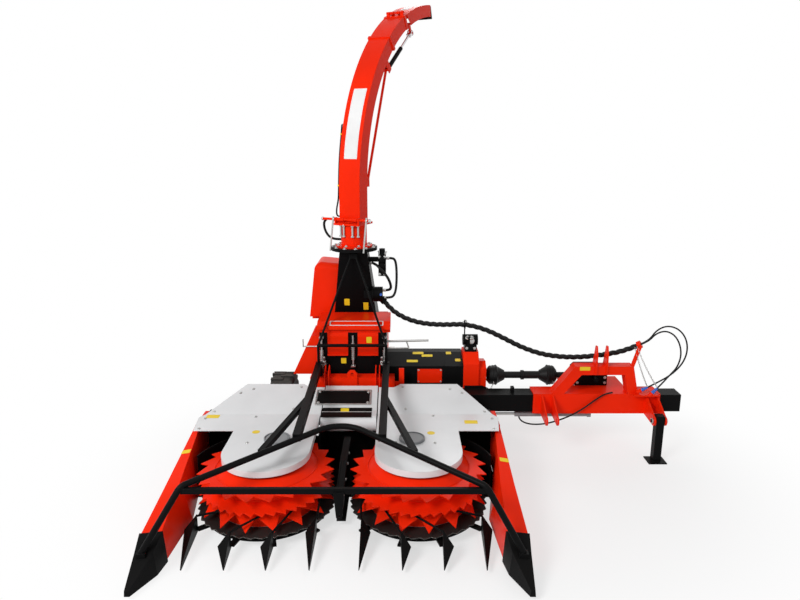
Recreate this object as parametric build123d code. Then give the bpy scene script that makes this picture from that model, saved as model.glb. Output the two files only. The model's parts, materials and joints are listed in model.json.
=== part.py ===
"""Mounted two-drum maize forage harvester, in millimetres.

X runs along the row of drums, towards the headstock. Y points backwards, away
from the crop, and Z is up. Everything is laid out from the midpoint between
the drum axes on the ground, and moved at the end so that the origin is the
bottom centre of the whole machine without its hoses.
"""
from build123d import *
import math
import os

# ---------------------------------------------------------------- driving sizes
SEAT = 0.3                  # gap between pieces that slide or turn on each other
RUN_FIT = 0.06              # radial clearance of a shaft in its bearing

# gathering drums
DRUM_PITCH = 1000           # between the two drum axes
DRUM_X = DRUM_PITCH / 2
RING_TIP_R = 448            # over the teeth of every toothed ring
KNIFE_TIP_R = 455
SHELL_R = 330               # smooth drum wall between the rings
SHELL_WALL = 8
SPINDLE_R = 45
FLOOR_R = SHELL_R + 80      # round front of the floor under each drum
FLOOR_TOP = 50
DRUM_FOOT = 76              # underside of the drum
DRUM_TOP = 380
RING_PLATE = 6

# header frame and covers
FLOOR_PLATE = 10
HEADER_HALF = 1060          # centre to the inside of a side divider
BEAM_FRONT, BEAM_BACK = 600, 690
BEAM_BOTTOM, BEAM_TOP = 345, 432
THROAT_HALF = 205           # half the inside width of the crop channel
SHEET = 8                   # header sheet steel
COVER_SHEET = 5
COVER_TOP = 441
COVER_R = 288
COVER_SKIRT = 42
COVER_FOLD_Y = 580
COVER_BACK_Y = 940
COVER_RISE = 100            # how far the folded part climbs to its back edge
HUB_R = 88
WING_FRONT, WING_CORNER = (HEADER_HALF + 12, 300), (HEADER_HALF + 40, 525)   # outer edge of a cover, in plan
BACK_CORNER = (832, COVER_BACK_Y)
SKID_HALF = 110

# push bar over the header
PUSH_TUBE_R = 19
PUSH_APEX_Z = 650
PUSH_CORNER = (870, -575, 508)
PUSH_END = (1072, -705, 172)
STAY = 50                   # square stay tube
STAY_X = 268
CROSS_Z = 846               # cross rod between the feet of the upper rods

# body
BODY_HALF = 270             # half the width of the feed housing
HOUSING_FRONT, HOUSING_BACK = 1100, 1430
HOUSING_BOTTOM, HOUSING_TOP = 110, 920
COUPLING_HALF = 335
COUPLING_FRONT, COUPLING_BACK = 950, 1045
COUPLING_BOTTOM, COUPLING_TOP = 468, 590
ROTOR_Y, ROTOR_Z = 1735, 560
ROTOR_R = 200
VOLUTE_R = 300
CHUTE_BOTTOM_Z, CHUTE_TOP_Z = 900, 1545
SWIVEL_Y = 1400
RING_R = 190
CHUTE_FOOT = (1436, 1800)   # front and back of the chute's foot
CHUTE_FOOT_HALF, CHUTE_TOP_HALF = 186, 112
CHUTE_FRONT_TOP = SWIVEL_Y - CHUTE_TOP_HALF
MOUTH_TOP = 400
ROTOR_SHAFT_R = 35

# drive line
GEARCASE = (890, 1016)      # left and right faces
FLANGE_X = 1078
HOOK = (905, 1180, 962)     # ring that carries the hoses
HOOK_R = 33

# running wheel
WHEEL_R = 250
TYRE_WIDTH = 200
WHEEL_X, WHEEL_Y = -612, 1300
AXLE_R = 20

# drawbar and headstock
TUBE = 140                  # outside of the square main tube
TUBE_WALL = 8
TUBE_FRONT, TUBE_BOTTOM = 900, 325
TUBE_END = 2600
SLEEVE_WALL = 12
SLEEVE_LEFT, SLEEVE_RIGHT = 1430, 2430
MAST_X = 1950               # centre of the three-point headstock
LOWER_SPAN = 820            # between the centres of the lower link lugs
LOWER_PIN_R = 14.25
LOWER_GAP = 72              # inside a pair of lower lugs
LOWER_PIN_Y, LOWER_PIN_Z = 700, 335
LUG = 12
TOP_PIN_R = 12.75
TOP_GAP = 70
TOP_PIN_Y, TOP_PIN_Z = 915, 805
PTO_Y, PTO_Z = 1180, 530
PTO_TUBE_R = 32
PTO_STUB_R = 17.4           # 1 3/8 inch input shaft

PTO_JOINT_LEFT = (1092, 1240)
PTO_JOINT_RIGHT = (1530, 1668)
SLIDE = 130                 # travel of the headstock either way
CYL_Y, CYL_Z = 955, 282
CYL_LEFT, CYL_START, CYL_STOP = 1120, 1300, 1880
CYL_R, CYL_ROD_R = 22, 11

# stand
LEG = 60
FOOT_PLATE = 8

# spout
SPOUT_TURN = 25             # discharge direction, from +Y towards +X
SPOUT_R = 1570              # centreline of the bend
SPOUT_FOOT_Z = 1780
SPOUT_BEND_Z = 2030
SPOUT_WIDTH = 188
SPOUT_FOOT_DEPTH, SPOUT_TIP_DEPTH = 132, 96
SPOUT_WALL = 4
DUCT_END, FLAP_END = 62, 82     # degrees round the bend
DUCT_JOINT = DUCT_END / 2       # where the lower duct is welded to the upper
COLLAR_R = 106
FOLD_Y = -SPOUT_FOOT_DEPTH / 2 - 40     # fold pin, in front of the duct
FOLD_Z = SPOUT_FOOT_Z + 20
FOLD_PIN_R = 10
FOLD_EAR = 112              # outside of the collar's two ears, from the middle
FLAP_PIN_R = 6
FLAP_PIN_RISE = 25          # of the flap's hinge over the duct
FLAP_DROP, FLAP_LIFT = 18, 12   # degrees
EYE_DRIFT = 11              # the straight-line coupling lets the rod's eye drift by this
LINK_X = 68                 # rod and cylinder stand off the duct's middle
LINK_ROD_R = 11
HEAD_AT, EYE_AT = 42, 65.3  # degrees round the bend of the cylinder's two pins
HEAD_DROP, EYE_DROP = 130, 125      # of the two pins under the duct's middle line
FLAP_BARREL, FLAP_BARREL_R, FLAP_ROD_IN = 330, 18, 160

# hoses
BUNDLE_R = 22
BUNDLE = [(252, 1336, 1112), (300, 1325, 1060), (365, 1311, 1012), (455, 1291, 972), (575, 1262, 948),
          (725, 1224, 948), (905, 1180, 968), (1068, 1161, 930), (1215, 1144, 862), (1366, 1126, 786),
          (1532, 1106, 732), (1712, 1082, 716), (1880, 1060, 728), (2028, 1030, 760), (2146, 992, 798),
          (2238, 950, 858)]
HOSE_R = 6
CLAMP = 30                  # radius and length of the hose clamp

CUT = 3000                  # longer than anything it cuts through

nodes = {}


# ---------------------------------------------------------------- small helpers
def block(x, y, z):
    """A box from three (low, high) pairs."""
    size = [high - low for low, high in (x, y, z)]
    centre = [(high + low) / 2 for low, high in (x, y, z)]
    return Pos(*centre) * Box(*size)


def plate_xy(points, low, high):
    return Pos(0, 0, low) * extrude(make_face(Polyline(*points, close=True)), high - low)


def plate_xz(points, low, high):
    face = make_face(Polyline(*[(x, 0, z) for x, z in points], close=True))
    return Pos(0, low, 0) * extrude(face, high - low, dir=(0, 1, 0))


def plate_yz(points, low, high):
    face = make_face(Polyline(*[(0, y, z) for y, z in points], close=True))
    return Pos(low, 0, 0) * extrude(face, high - low, dir=(1, 0, 0))


def rod(start, end, radius):
    """A round bar between two points."""
    start, end = Vector(*start), Vector(*end)
    plane = Plane(start, z_dir=end - start)
    return plane * Cylinder(radius, (end - start).length, align=(Align.CENTER, Align.CENTER, Align.MIN))


def pipe(start, end, radius, bore):
    """A round tube between two points."""
    return rod(start, end, radius) - rod(start, end, bore)


def bar(start, end, width, height):
    """A rectangular bar between two points, its height in the vertical plane."""
    start, end = Vector(*start), Vector(*end)
    along = (end - start).normalized()
    side = Vector(0, 0, 1).cross(along)
    plane = Plane(start, x_dir=side, z_dir=along)
    box = Box(width, height, (end - start).length, align=(Align.CENTER, Align.CENTER, Align.MIN))
    return plane * box


def disc(radius, low, high, x=0, y=0):
    return Pos(x, y, low) * Cylinder(radius, high - low, align=(Align.CENTER, Align.CENTER, Align.MIN))


def mirrored(shape):
    """The same piece on the other side of the header."""
    return mirror(shape, about=Plane.YZ)


def both(shape):
    """A piece and its mirror image, as separate solids of one node."""
    return Compound(children=[*shape.solids(), *mirrored(shape).solids()])


def group(*shapes):
    """Like pieces that share a node."""
    return Compound(children=[solid for shape in shapes for solid in shape.solids()])


# ---------------------------------------------------------------- drums
def tooth_outline(root, tip, teeth, lean):
    """A saw-tooth outline whose tips lean round by a share of the tooth pitch."""
    points = []
    for tooth in range(teeth):
        for radius, share in ((root, 0.0), (tip, 0.5 + lean)):
            angle = 2 * math.pi * (tooth + share) / teeth
            points.append((radius * math.cos(angle), radius * math.sin(angle)))
    return points


def toothed_ring(inner, top, root, tip, drop, teeth, lean):
    """A dished ring: its sheet falls by drop from the drum wall to the tooth tips."""
    edge = tip + 10
    fall = drop * (edge - inner) / (tip - inner)
    sheet = Polyline(
        (inner, 0, top), (edge, 0, top - fall),
        (edge, 0, top - fall - RING_PLATE), (inner, 0, top - RING_PLATE), close=True)
    dish = revolve(make_face(sheet), Axis.Z)
    teeth_blank = plate_xy(tooth_outline(root, tip, teeth, lean), top - 2 * drop - 60, top + 20)
    return dish & teeth_blank


def drum_pieces():
    """One gathering drum about its own axis: shell, three rings and knife disc."""
    wall = SHELL_WALL
    hub = SPINDLE_R + RUN_FIT
    shell_profile = Polyline(
        (hub, 0, DRUM_FOOT), (hub + 25, 0, DRUM_FOOT), (hub + 25, 0, DRUM_TOP - 2 * wall),
        (SHELL_R - 60, 0, DRUM_TOP - 2 * wall), (SHELL_R - wall, 0, DRUM_TOP - 40 - wall),
        (SHELL_R - wall, 0, DRUM_FOOT + 14), (SHELL_R, 0, DRUM_FOOT + 14),
        (SHELL_R, 0, DRUM_TOP - 40), (SHELL_R - 58, 0, DRUM_TOP), (hub, 0, DRUM_TOP), close=True)
    shell = revolve(make_face(shell_profile), Axis.Z)
    knife = plate_xy(tooth_outline(KNIFE_TIP_R - 16, KNIFE_TIP_R, 40, 0.2), DRUM_FOOT + 6, DRUM_FOOT + 12)
    knife = knife - disc(SHELL_R - 60, DRUM_FOOT, DRUM_FOOT + 20)
    knife = knife + (disc(SHELL_R, DRUM_FOOT + 12, DRUM_FOOT + 14) - disc(SHELL_R - 60, DRUM_FOOT, DRUM_FOOT + 20))
    return {
        "shell": shell,
        "top_ring": toothed_ring(SHELL_R, DRUM_TOP - 41, RING_TIP_R - 62, RING_TIP_R, 12, 20, 0.25),
        "feed_ring": toothed_ring(SHELL_R, DRUM_TOP - 112, RING_TIP_R - 34, RING_TIP_R - 8, 42, 40, 0.3),
        "tooth_ring": toothed_ring(SHELL_R, DRUM_TOP - 180, RING_TIP_R - 88, RING_TIP_R, 78, 16, 0.2),
        "knife": knife,
    }


def make_drums():
    pieces = drum_pieces()
    rotor = pieces["shell"] + pieces["top_ring"] + pieces["feed_ring"] + pieces["tooth_ring"]
    for name, shape in (("drum", rotor), ("knife_disc", pieces["knife"])):
        left = Pos(-DRUM_X, 0, 0) * shape
        nodes[f"{name}_left"] = left
        nodes[f"{name}_right"] = mirrored(left)


# ---------------------------------------------------------------- header frame
def make_header_frame():
    low = FLOOR_TOP - FLOOR_PLATE
    lobe = disc(FLOOR_R, low, FLOOR_TOP, x=DRUM_X)
    web = block((-HEADER_HALF, HEADER_HALF), (100, BEAM_BACK), (low, FLOOR_TOP))
    skid = plate_yz([(-360, low), (-250, 0), (420, 0), (560, low), (536, low), (416, SHEET), (-246, SHEET),
                     (-332, low)], DRUM_X - SKID_HALF, DRUM_X + SKID_HALF)
    for x in (-60, 60):
        skid = skid + block((DRUM_X + x - 5, DRUM_X + x + 5), (-200, 380), (SHEET, low))
    seat = disc(120, FLOOR_TOP, DRUM_FOOT - SEAT, x=DRUM_X)
    spindle = disc(SPINDLE_R, DRUM_FOOT - SEAT, DRUM_TOP - 20, x=DRUM_X)
    right = lobe + skid + seat + spindle
    nodes["header_floor"] = web + right + mirrored(right)

    beam = block((-HEADER_HALF, HEADER_HALF), (BEAM_FRONT, BEAM_BACK), (BEAM_BOTTOM, BEAM_TOP))
    bore = block((-HEADER_HALF - 1, HEADER_HALF + 1), (BEAM_FRONT + SHEET, BEAM_BACK - SHEET),
                 (BEAM_BOTTOM + SHEET, BEAM_TOP - SHEET))
    # curved back wall behind each drum, and the cheek of the crop channel
    ring_in = KNIFE_TIP_R + 45
    wall = disc(ring_in + SHEET, FLOOR_TOP, BEAM_BOTTOM, x=DRUM_X) - disc(ring_in, 0, BEAM_TOP, x=DRUM_X)
    wall = wall & block((THROAT_HALF, HEADER_HALF), (110, BEAM_BACK), (FLOOR_TOP, BEAM_BOTTOM))
    post = block((THROAT_HALF, THROAT_HALF + SHEET), (400, BEAM_BACK), (FLOOR_TOP, BEAM_BOTTOM))
    brace = block((DRUM_X - 5, DRUM_X + 5), (ring_in + SHEET - 4, BEAM_BACK), (FLOOR_TOP, BEAM_BOTTOM))
    right = wall + post + brace
    foot = block((DRUM_X - 200, DRUM_X - 140), (BEAM_FRONT + 20, BEAM_FRONT + 60),
                 (BEAM_TOP, COVER_TOP - COVER_SHEET))
    right = right + foot + Pos(340, 0, 0) * foot
    nodes["header_frame"] = (beam - bore) + right + mirrored(right)

    # trough that leads the crop back to the feed housing, and carries the header on the coupling beam
    cheek = plate_yz([(BEAM_BACK, low), (HOUSING_FRONT, low), (HOUSING_FRONT, COUPLING_BOTTOM),
                      (COUPLING_FRONT - 20, COUPLING_BOTTOM), (COUPLING_FRONT - 20, BEAM_TOP - 12),
                      (BEAM_BACK, BEAM_TOP - 12)], THROAT_HALF, THROAT_HALF + SHEET)
    trough = block((-THROAT_HALF, THROAT_HALF), (BEAM_BACK, HOUSING_FRONT), (low, FLOOR_TOP))
    nodes["crop_channel"] = trough + cheek + mirrored(cheek)


# ---------------------------------------------------------------- covers
def make_covers():
    inner = DRUM_X - COVER_R
    outer = DRUM_X + COVER_R
    low = COVER_TOP - COVER_SHEET
    share = (COVER_FOLD_Y - WING_CORNER[1]) / (BACK_CORNER[1] - WING_CORNER[1])
    fold_x = WING_CORNER[0] + share * (BACK_CORNER[0] - WING_CORNER[0])
    flat = plate_xy([(inner, 0), (outer, 0), (outer, WING_FRONT[1]), WING_FRONT, WING_CORNER,
                     (fold_x, COVER_FOLD_Y), (inner, COVER_FOLD_Y)], low, COVER_TOP)
    nose = disc(COVER_R, low, COVER_TOP, x=DRUM_X)
    skirt = (disc(COVER_R, COVER_TOP - COVER_SKIRT, COVER_TOP, x=DRUM_X)
             - disc(COVER_R - COVER_SHEET, 0, COVER_TOP, x=DRUM_X))
    skirt = skirt & block((0, outer + 1), (-COVER_R - 1, 0), (0, COVER_TOP))
    sides = [block((x, x + COVER_SHEET), (0, y), (COVER_TOP - COVER_SKIRT, COVER_TOP))
             for x, y in ((inner, BEAM_FRONT), (outer - COVER_SHEET, WING_FRONT[1]))]
    # the folded part climbs to the back, cut to the outline seen from above
    run = COVER_BACK_Y - COVER_FOLD_Y
    slope = plate_yz([(COVER_FOLD_Y, low), (COVER_BACK_Y, low + COVER_RISE),
                      (COVER_BACK_Y, COVER_TOP + COVER_RISE), (COVER_FOLD_Y, COVER_TOP)], 0, outer + 400)
    outline = plate_xy([(inner, COVER_FOLD_Y), (fold_x, COVER_FOLD_Y), BACK_CORNER,
                        (inner + 170, COVER_BACK_Y), (inner + 120, COVER_BACK_Y - run / 9),
                        (inner, COVER_BACK_Y - run / 9)], 0, 999)
    cover = flat + nose + skirt + sides[0] + sides[1] + (slope & outline)
    beam = block((0, HEADER_HALF), (BEAM_FRONT, BEAM_BACK), (BEAM_BOTTOM, BEAM_TOP))
    nodes["drum_covers"] = both(cover - beam)

    cap = disc(HUB_R, COVER_TOP, COVER_TOP + 8, x=DRUM_X - 40, y=165)
    nodes["hub_caps"] = both(cap + disc(HUB_R - 14, COVER_TOP + 8, COVER_TOP + 11, x=DRUM_X - 40, y=165))

    # panel between the covers: a sloped plate over a rounded lip
    half = THROAT_HALF - SEAT
    back = COVER_BACK_Y - run / 9
    rise = COVER_RISE * (back - COVER_FOLD_Y) / run
    panel = plate_yz([(COVER_FOLD_Y + 40, COVER_TOP + 12), (back, COVER_TOP + rise + 12),
                      (back, COVER_TOP + rise + 2), (COVER_FOLD_Y + 40, COVER_TOP + 2)], -half, half)
    lip = pipe((-half, COVER_FOLD_Y - 45, COVER_TOP - 48), (half, COVER_FOLD_Y - 45, COVER_TOP - 48), 60, 52)
    lip = lip & block((-half, half), (0, COVER_FOLD_Y + 20), (COVER_TOP - 110, COVER_TOP + 20))
    shelf = block((-half, half), (COVER_FOLD_Y - 45, COVER_FOLD_Y + 48), (COVER_TOP + 4, COVER_TOP + 12))
    feet = block((-half, -half + 30), (BEAM_FRONT + 10, BEAM_BACK - 10), (BEAM_TOP, COVER_TOP + 6))
    nodes["centre_panel"] = panel + lip + shelf + feet + mirrored(feet)


# ---------------------------------------------------------------- dividers
def quad(y, points):
    return Polyline(*[(x, y, z) for x, z in points], close=True)


def make_dividers():
    side = HEADER_HALF
    back = quad(430, [(side + 40, 55), (side + 35, 425), (side, 428), (side, 55)])
    middle = quad(-200, [(side + 62, 45), (side + 44, 298), (side - 48, 318), (side - 112, 60)])
    front = quad(-590, [(side + 72, 38), (side + 58, 208), (side - 64, 224), (side - 78, 40)])
    body = loft([make_face(back), make_face(middle)], ruled=True)
    body = body + loft([make_face(middle), make_face(front)], ruled=True)
    tail = block((side, side + 40), (430, BEAM_BACK), (55, 420))
    nodes["dividers"] = both(body + tail)
    collar = quad(-590, [(side + 80, 30), (side + 66, 216), (side - 72, 232), (side - 86, 32)])
    waist = quad(-700, [(side + 74, 20), (side + 58, 158), (side - 50, 166), (side - 64, 22)])
    point = quad(-885, [(side + 52, 24), (side + 48, 62), (side + 24, 62), (side + 22, 24)])
    tip = loft([make_face(collar), make_face(waist)], ruled=True)
    tip = tip + loft([make_face(waist), make_face(point)], ruled=True)
    nodes["divider_tips"] = both(tip)


# ---------------------------------------------------------------- fingers
# tip x, root angle from straight ahead (degrees), guide rod end (x, y), from the left drum's axis
FINGERS = [(-375, -52, -200, -330), (-130, -16, 50, -370), (110, 14, 235, -275), (360, 48, 370, -165)]
FINGER_TIP_Y = -665
FINGER_ROOT_R = 488


def make_fingers():
    """Crop lifters: a leaf-shaped blade, its arm under the knife disc and its rod over it."""
    fingers = []
    for tip_x, angle, rod_x, rod_y in FINGERS:
        turn = math.radians(angle)
        x = FINGER_ROOT_R * math.sin(turn)
        y = -FINGER_ROOT_R * math.cos(turn)
        root = Polyline((x, y, 162), (x - 62, y - 70, 96), (x, y, 44), close=True)
        tip = Polyline((tip_x, FINGER_TIP_Y, 40), (tip_x - 5, FINGER_TIP_Y - 5, 32),
                       (tip_x, FINGER_TIP_Y, 24), close=True)
        blade = loft([make_face(root), make_face(tip)], ruled=True)
        guide = rod((x, y - 4, 150), (rod_x, rod_y, 206), 7)
        share = (SHELL_R + 60) / FINGER_ROOT_R
        seat = FLOOR_TOP + 6
        arm = bar((x * 1.01, y * 1.01, seat), (x * share, y * share, seat), 40, 12)
        fingers.append(Pos(-DRUM_X, 0, 0) * (blade + guide + arm))
    nodes["fingers"] = both(group(*fingers))


def make_centre_guide():
    """Upright wedge between the drums with its two guide rods."""
    plate = plate_yz([(-190, FLOOR_TOP), (420, FLOOR_TOP), (420, 330), (60, 330), (-190, 270)], -6, 6)
    top = plate_yz([(420, 330), (420, 338), (58, 338), (-190, 278), (-190, 270), (60, 330)], -24, 24)
    foot = block((-30, 30), (-190, 110), (FLOOR_TOP - FLOOR_PLATE, FLOOR_TOP))
    foot = foot - block((-HEADER_HALF, HEADER_HALF), (100, BEAM_BACK), (0, 99))
    lobe = disc(FLOOR_R, 0, 99, x=DRUM_X)
    foot = foot - lobe - mirrored(lobe)
    rods = [rod((x, 58, 338), (x * 1.3, -192, 279), 5) for x in (-16, 16)]
    nodes["centre_guide"] = plate + top + foot + rods[0] + rods[1]


# ---------------------------------------------------------------- push bar
def push_path():
    corner, end = PUSH_CORNER, PUSH_END
    points = [(-end[0], end[1], end[2]), (-corner[0], corner[1], corner[2]),
              (0, 0, PUSH_APEX_Z), corner, end]
    return FilletPolyline(*points, radius=[70, 260, 70])


def make_push_bar():
    path = push_path()
    section = Plane(path @ 0, z_dir=path % 0) * Circle(PUSH_TUBE_R)
    tube = sweep(section, path=path)
    foot = PUSH_END
    pad = block((foot[0] - 26, foot[0] + 26), (foot[1] - 24, foot[1] + 24), (foot[2] - 56, foot[2] + 4))
    tips = nodes["divider_tips"]
    nodes["push_bar"] = (tube + pad + mirrored(pad)) - tips

    corner = PUSH_CORNER
    height = 34
    front = block((-corner[0], corner[0]), (corner[1] - 12, corner[1] + 12),
                  (corner[2] - 10 - height, corner[2] - 10))
    hanger = plate_xz([(-2, corner[2] - 30), (62, corner[2] - 30), (48, corner[2] - 190),
                       (30, corner[2] - 204), (12, corner[2] - 190)], corner[1] - 20, corner[1] - 12)
    hole = rod((30, corner[1] - 40, corner[2] - 180), (30, corner[1], corner[2] - 180), 7)
    nodes["push_cross_bar"] = (front + (hanger - hole)) - tube

    share = STAY_X / corner[0]
    bar_y, bar_z = corner[1] * share, PUSH_APEX_Z + (corner[2] - PUSH_APEX_Z) * share
    back = (STAY_X, COUPLING_FRONT + 60, 672)
    stay = bar((STAY_X, bar_y, bar_z + 8), back, STAY, STAY)
    share = 0.54
    brace = bar((STAY_X, 420, bar_z + 36), (corner[0] * share, corner[1] * share + 18,
                PUSH_APEX_Z + (corner[2] - PUSH_APEX_Z) * share), 36, 36)
    post = block((STAY_X - 25, STAY_X + 25), (COUPLING_FRONT + 30, COUPLING_FRONT + 80), (COUPLING_TOP, 700))
    nodes["push_stays"] = both(stay + brace + post - tube)

    # thin rods in an A up to the chute, with a cross rod between their feet
    foot_y = COUPLING_FRONT + 36
    side = rod((STAY_X, foot_y + 8, 701), (STAY_X, foot_y, CROSS_Z + 6), 11)
    side = side + rod((STAY_X, foot_y, CROSS_Z), (20, CHUTE_FRONT_TOP - 14, 1505), 9)
    side = side + rod((0, foot_y, CROSS_Z), (STAY_X, foot_y, CROSS_Z), 13)
    clip = block((-34, 34), (CHUTE_FRONT_TOP - 26, CHUTE_FRONT_TOP + 10), (1490, 1530))
    nodes["upper_rods"] = (side + mirrored(side) + clip) - chute_solid(0)


# ---------------------------------------------------------------- body
def make_coupling():
    beam = block((-COUPLING_HALF, COUPLING_HALF), (COUPLING_FRONT, COUPLING_BACK),
                 (COUPLING_BOTTOM, COUPLING_TOP))
    hollow = block((-COUPLING_HALF - 1, COUPLING_HALF - 8), (COUPLING_FRONT + 8, COUPLING_BACK - 8),
                   (COUPLING_BOTTOM + 8, COUPLING_TOP - 8))
    eye = plate_xz([(-40, COUPLING_BOTTOM + 30), (40, COUPLING_BOTTOM + 30), (40, COUPLING_TOP + 40),
                    (18, COUPLING_TOP + 66), (-18, COUPLING_TOP + 66), (-40, COUPLING_TOP + 40)],
                   COUPLING_FRONT - 14, COUPLING_FRONT)
    eye = eye - rod((0, COUPLING_FRONT - 20, COUPLING_TOP + 32), (0, COUPLING_FRONT + 20, COUPLING_TOP + 32), 14)
    lugs = group(*[plate_yz([(COUPLING_FRONT - 40, COUPLING_BOTTOM + 10), (COUPLING_FRONT, COUPLING_BOTTOM + 10),
                             (COUPLING_FRONT, COUPLING_TOP), (COUPLING_BACK, COUPLING_TOP),
                             (COUPLING_BACK - 10, COUPLING_TOP + 70), (COUPLING_FRONT + 74, COUPLING_TOP + 82),
                             (COUPLING_FRONT - 30, COUPLING_TOP + 50)], x, x + 8)
                   for x in (-220, -190, 182, 212)])
    link = block((-THROAT_HALF - SHEET, -THROAT_HALF + 120), (COUPLING_BACK, HOUSING_FRONT),
                 (COUPLING_BOTTOM + 20, COUPLING_TOP - 20))
    ell = plate_xz([(COUPLING_HALF, COUPLING_BOTTOM + 10), (COUPLING_HALF + 75, COUPLING_BOTTOM + 10),
                    (COUPLING_HALF + 75, COUPLING_TOP + 70), (COUPLING_HALF + 35, COUPLING_TOP + 70),
                    (COUPLING_HALF + 35, COUPLING_TOP - 40), (COUPLING_HALF, COUPLING_TOP - 40)],
                   COUPLING_FRONT + 20, COUPLING_FRONT + 32)
    carrier = (beam - hollow) + eye + link + mirrored(link) + ell
    for lug in lugs.solids():
        carrier = carrier + lug
    nodes["coupling_beam"] = carrier


def make_feed_housing():
    y, z = (HOUSING_FRONT, HOUSING_BACK), (HOUSING_BOTTOM - 70, HOUSING_TOP)
    case = block((-BODY_HALF, BODY_HALF), y, z)
    inside = block((-BODY_HALF + 12, BODY_HALF - 12), (HOUSING_FRONT + 12, HOUSING_BACK - 12),
                   (z[0] + 12, z[1] - 12))
    mouth = block((-THROAT_HALF, THROAT_HALF), (HOUSING_FRONT - 1, HOUSING_FRONT + 13), (z[0] + 12, MOUTH_TOP))
    exit_slot = block((-THROAT_HALF, THROAT_HALF), (HOUSING_BACK - 13, HOUSING_BACK + 1), (z[0] + 60, MOUTH_TOP))
    nodes["feed_housing"] = case - inside - mouth - exit_slot

    rollers = [(HOUSING_FRONT + 110, 140, 72), (HOUSING_FRONT + 110, 330, 92),
               (HOUSING_FRONT + 250, 140, 50), (HOUSING_FRONT + 260, 300, 50)]
    span = BODY_HALF - 12
    shapes = []
    for roll_y, roll_z, radius in rollers:
        drum = rod((-span, roll_y, roll_z), (span, roll_y, roll_z), radius - 8)
        for rib in range(8):
            angle = math.tau * rib / 8
            centre = (roll_y + (radius - 8) * math.cos(angle), roll_z + (radius - 8) * math.sin(angle))
            drum = drum + block((-span + 6, span - 6), (centre[0] - 7, centre[0] + 7),
                                (centre[1] - 7, centre[1] + 7))
        shapes.append(drum)
    nodes["crop_rotors"] = group(*shapes)

    # hood over the feed springs, its front edge chamfered
    hood = plate_yz([(HOUSING_FRONT, HOUSING_TOP), (HOUSING_FRONT, HOUSING_TOP + 30),
                     (HOUSING_FRONT - 30, HOUSING_TOP + 30), (HOUSING_FRONT - 30, HOUSING_TOP + 62),
                     (HOUSING_FRONT + 20, HOUSING_TOP + 88), (HOUSING_BACK - 42, HOUSING_TOP + 92),
                     (HOUSING_BACK - 42, HOUSING_TOP)], -BODY_HALF - 15, BODY_HALF + 30)
    nodes["feed_hood"] = hood

    width = 165
    flaps = []
    for low in (-205, 38):
        front = HOUSING_FRONT - 14
        flap = plate_yz([(front, 735), (front + 14, 735), (front + 14, HOUSING_TOP), (front + 6, HOUSING_TOP),
                         (front, HOUSING_TOP - 30)], low, low + width)
        flaps.append(flap + block((low, low + width), (front - 22, front), (735, 745)))
    nodes["feed_flaps"] = group(*flaps)

    # spring rods at the front corners and in the middle
    front = HOUSING_FRONT - 22
    coils = []
    for x, low, high in ((-BODY_HALF + 18, COUPLING_TOP, 880), (BODY_HALF - 18, COUPLING_TOP, 880), (0, 650, 900)):
        coil = rod((x, front, low), (x, front, high), 7)
        for turn in range(9):
            start = low + 50 + turn * 16
            coil = coil + rod((x, front, start), (x, front, start + 8), 15)
        seat = 880 if x else 638
        coils.append(coil + block((x - 18, x + 18), (front - 16, HOUSING_FRONT), (seat, seat + 12)))
    nodes["feed_springs"] = group(*coils)


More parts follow.
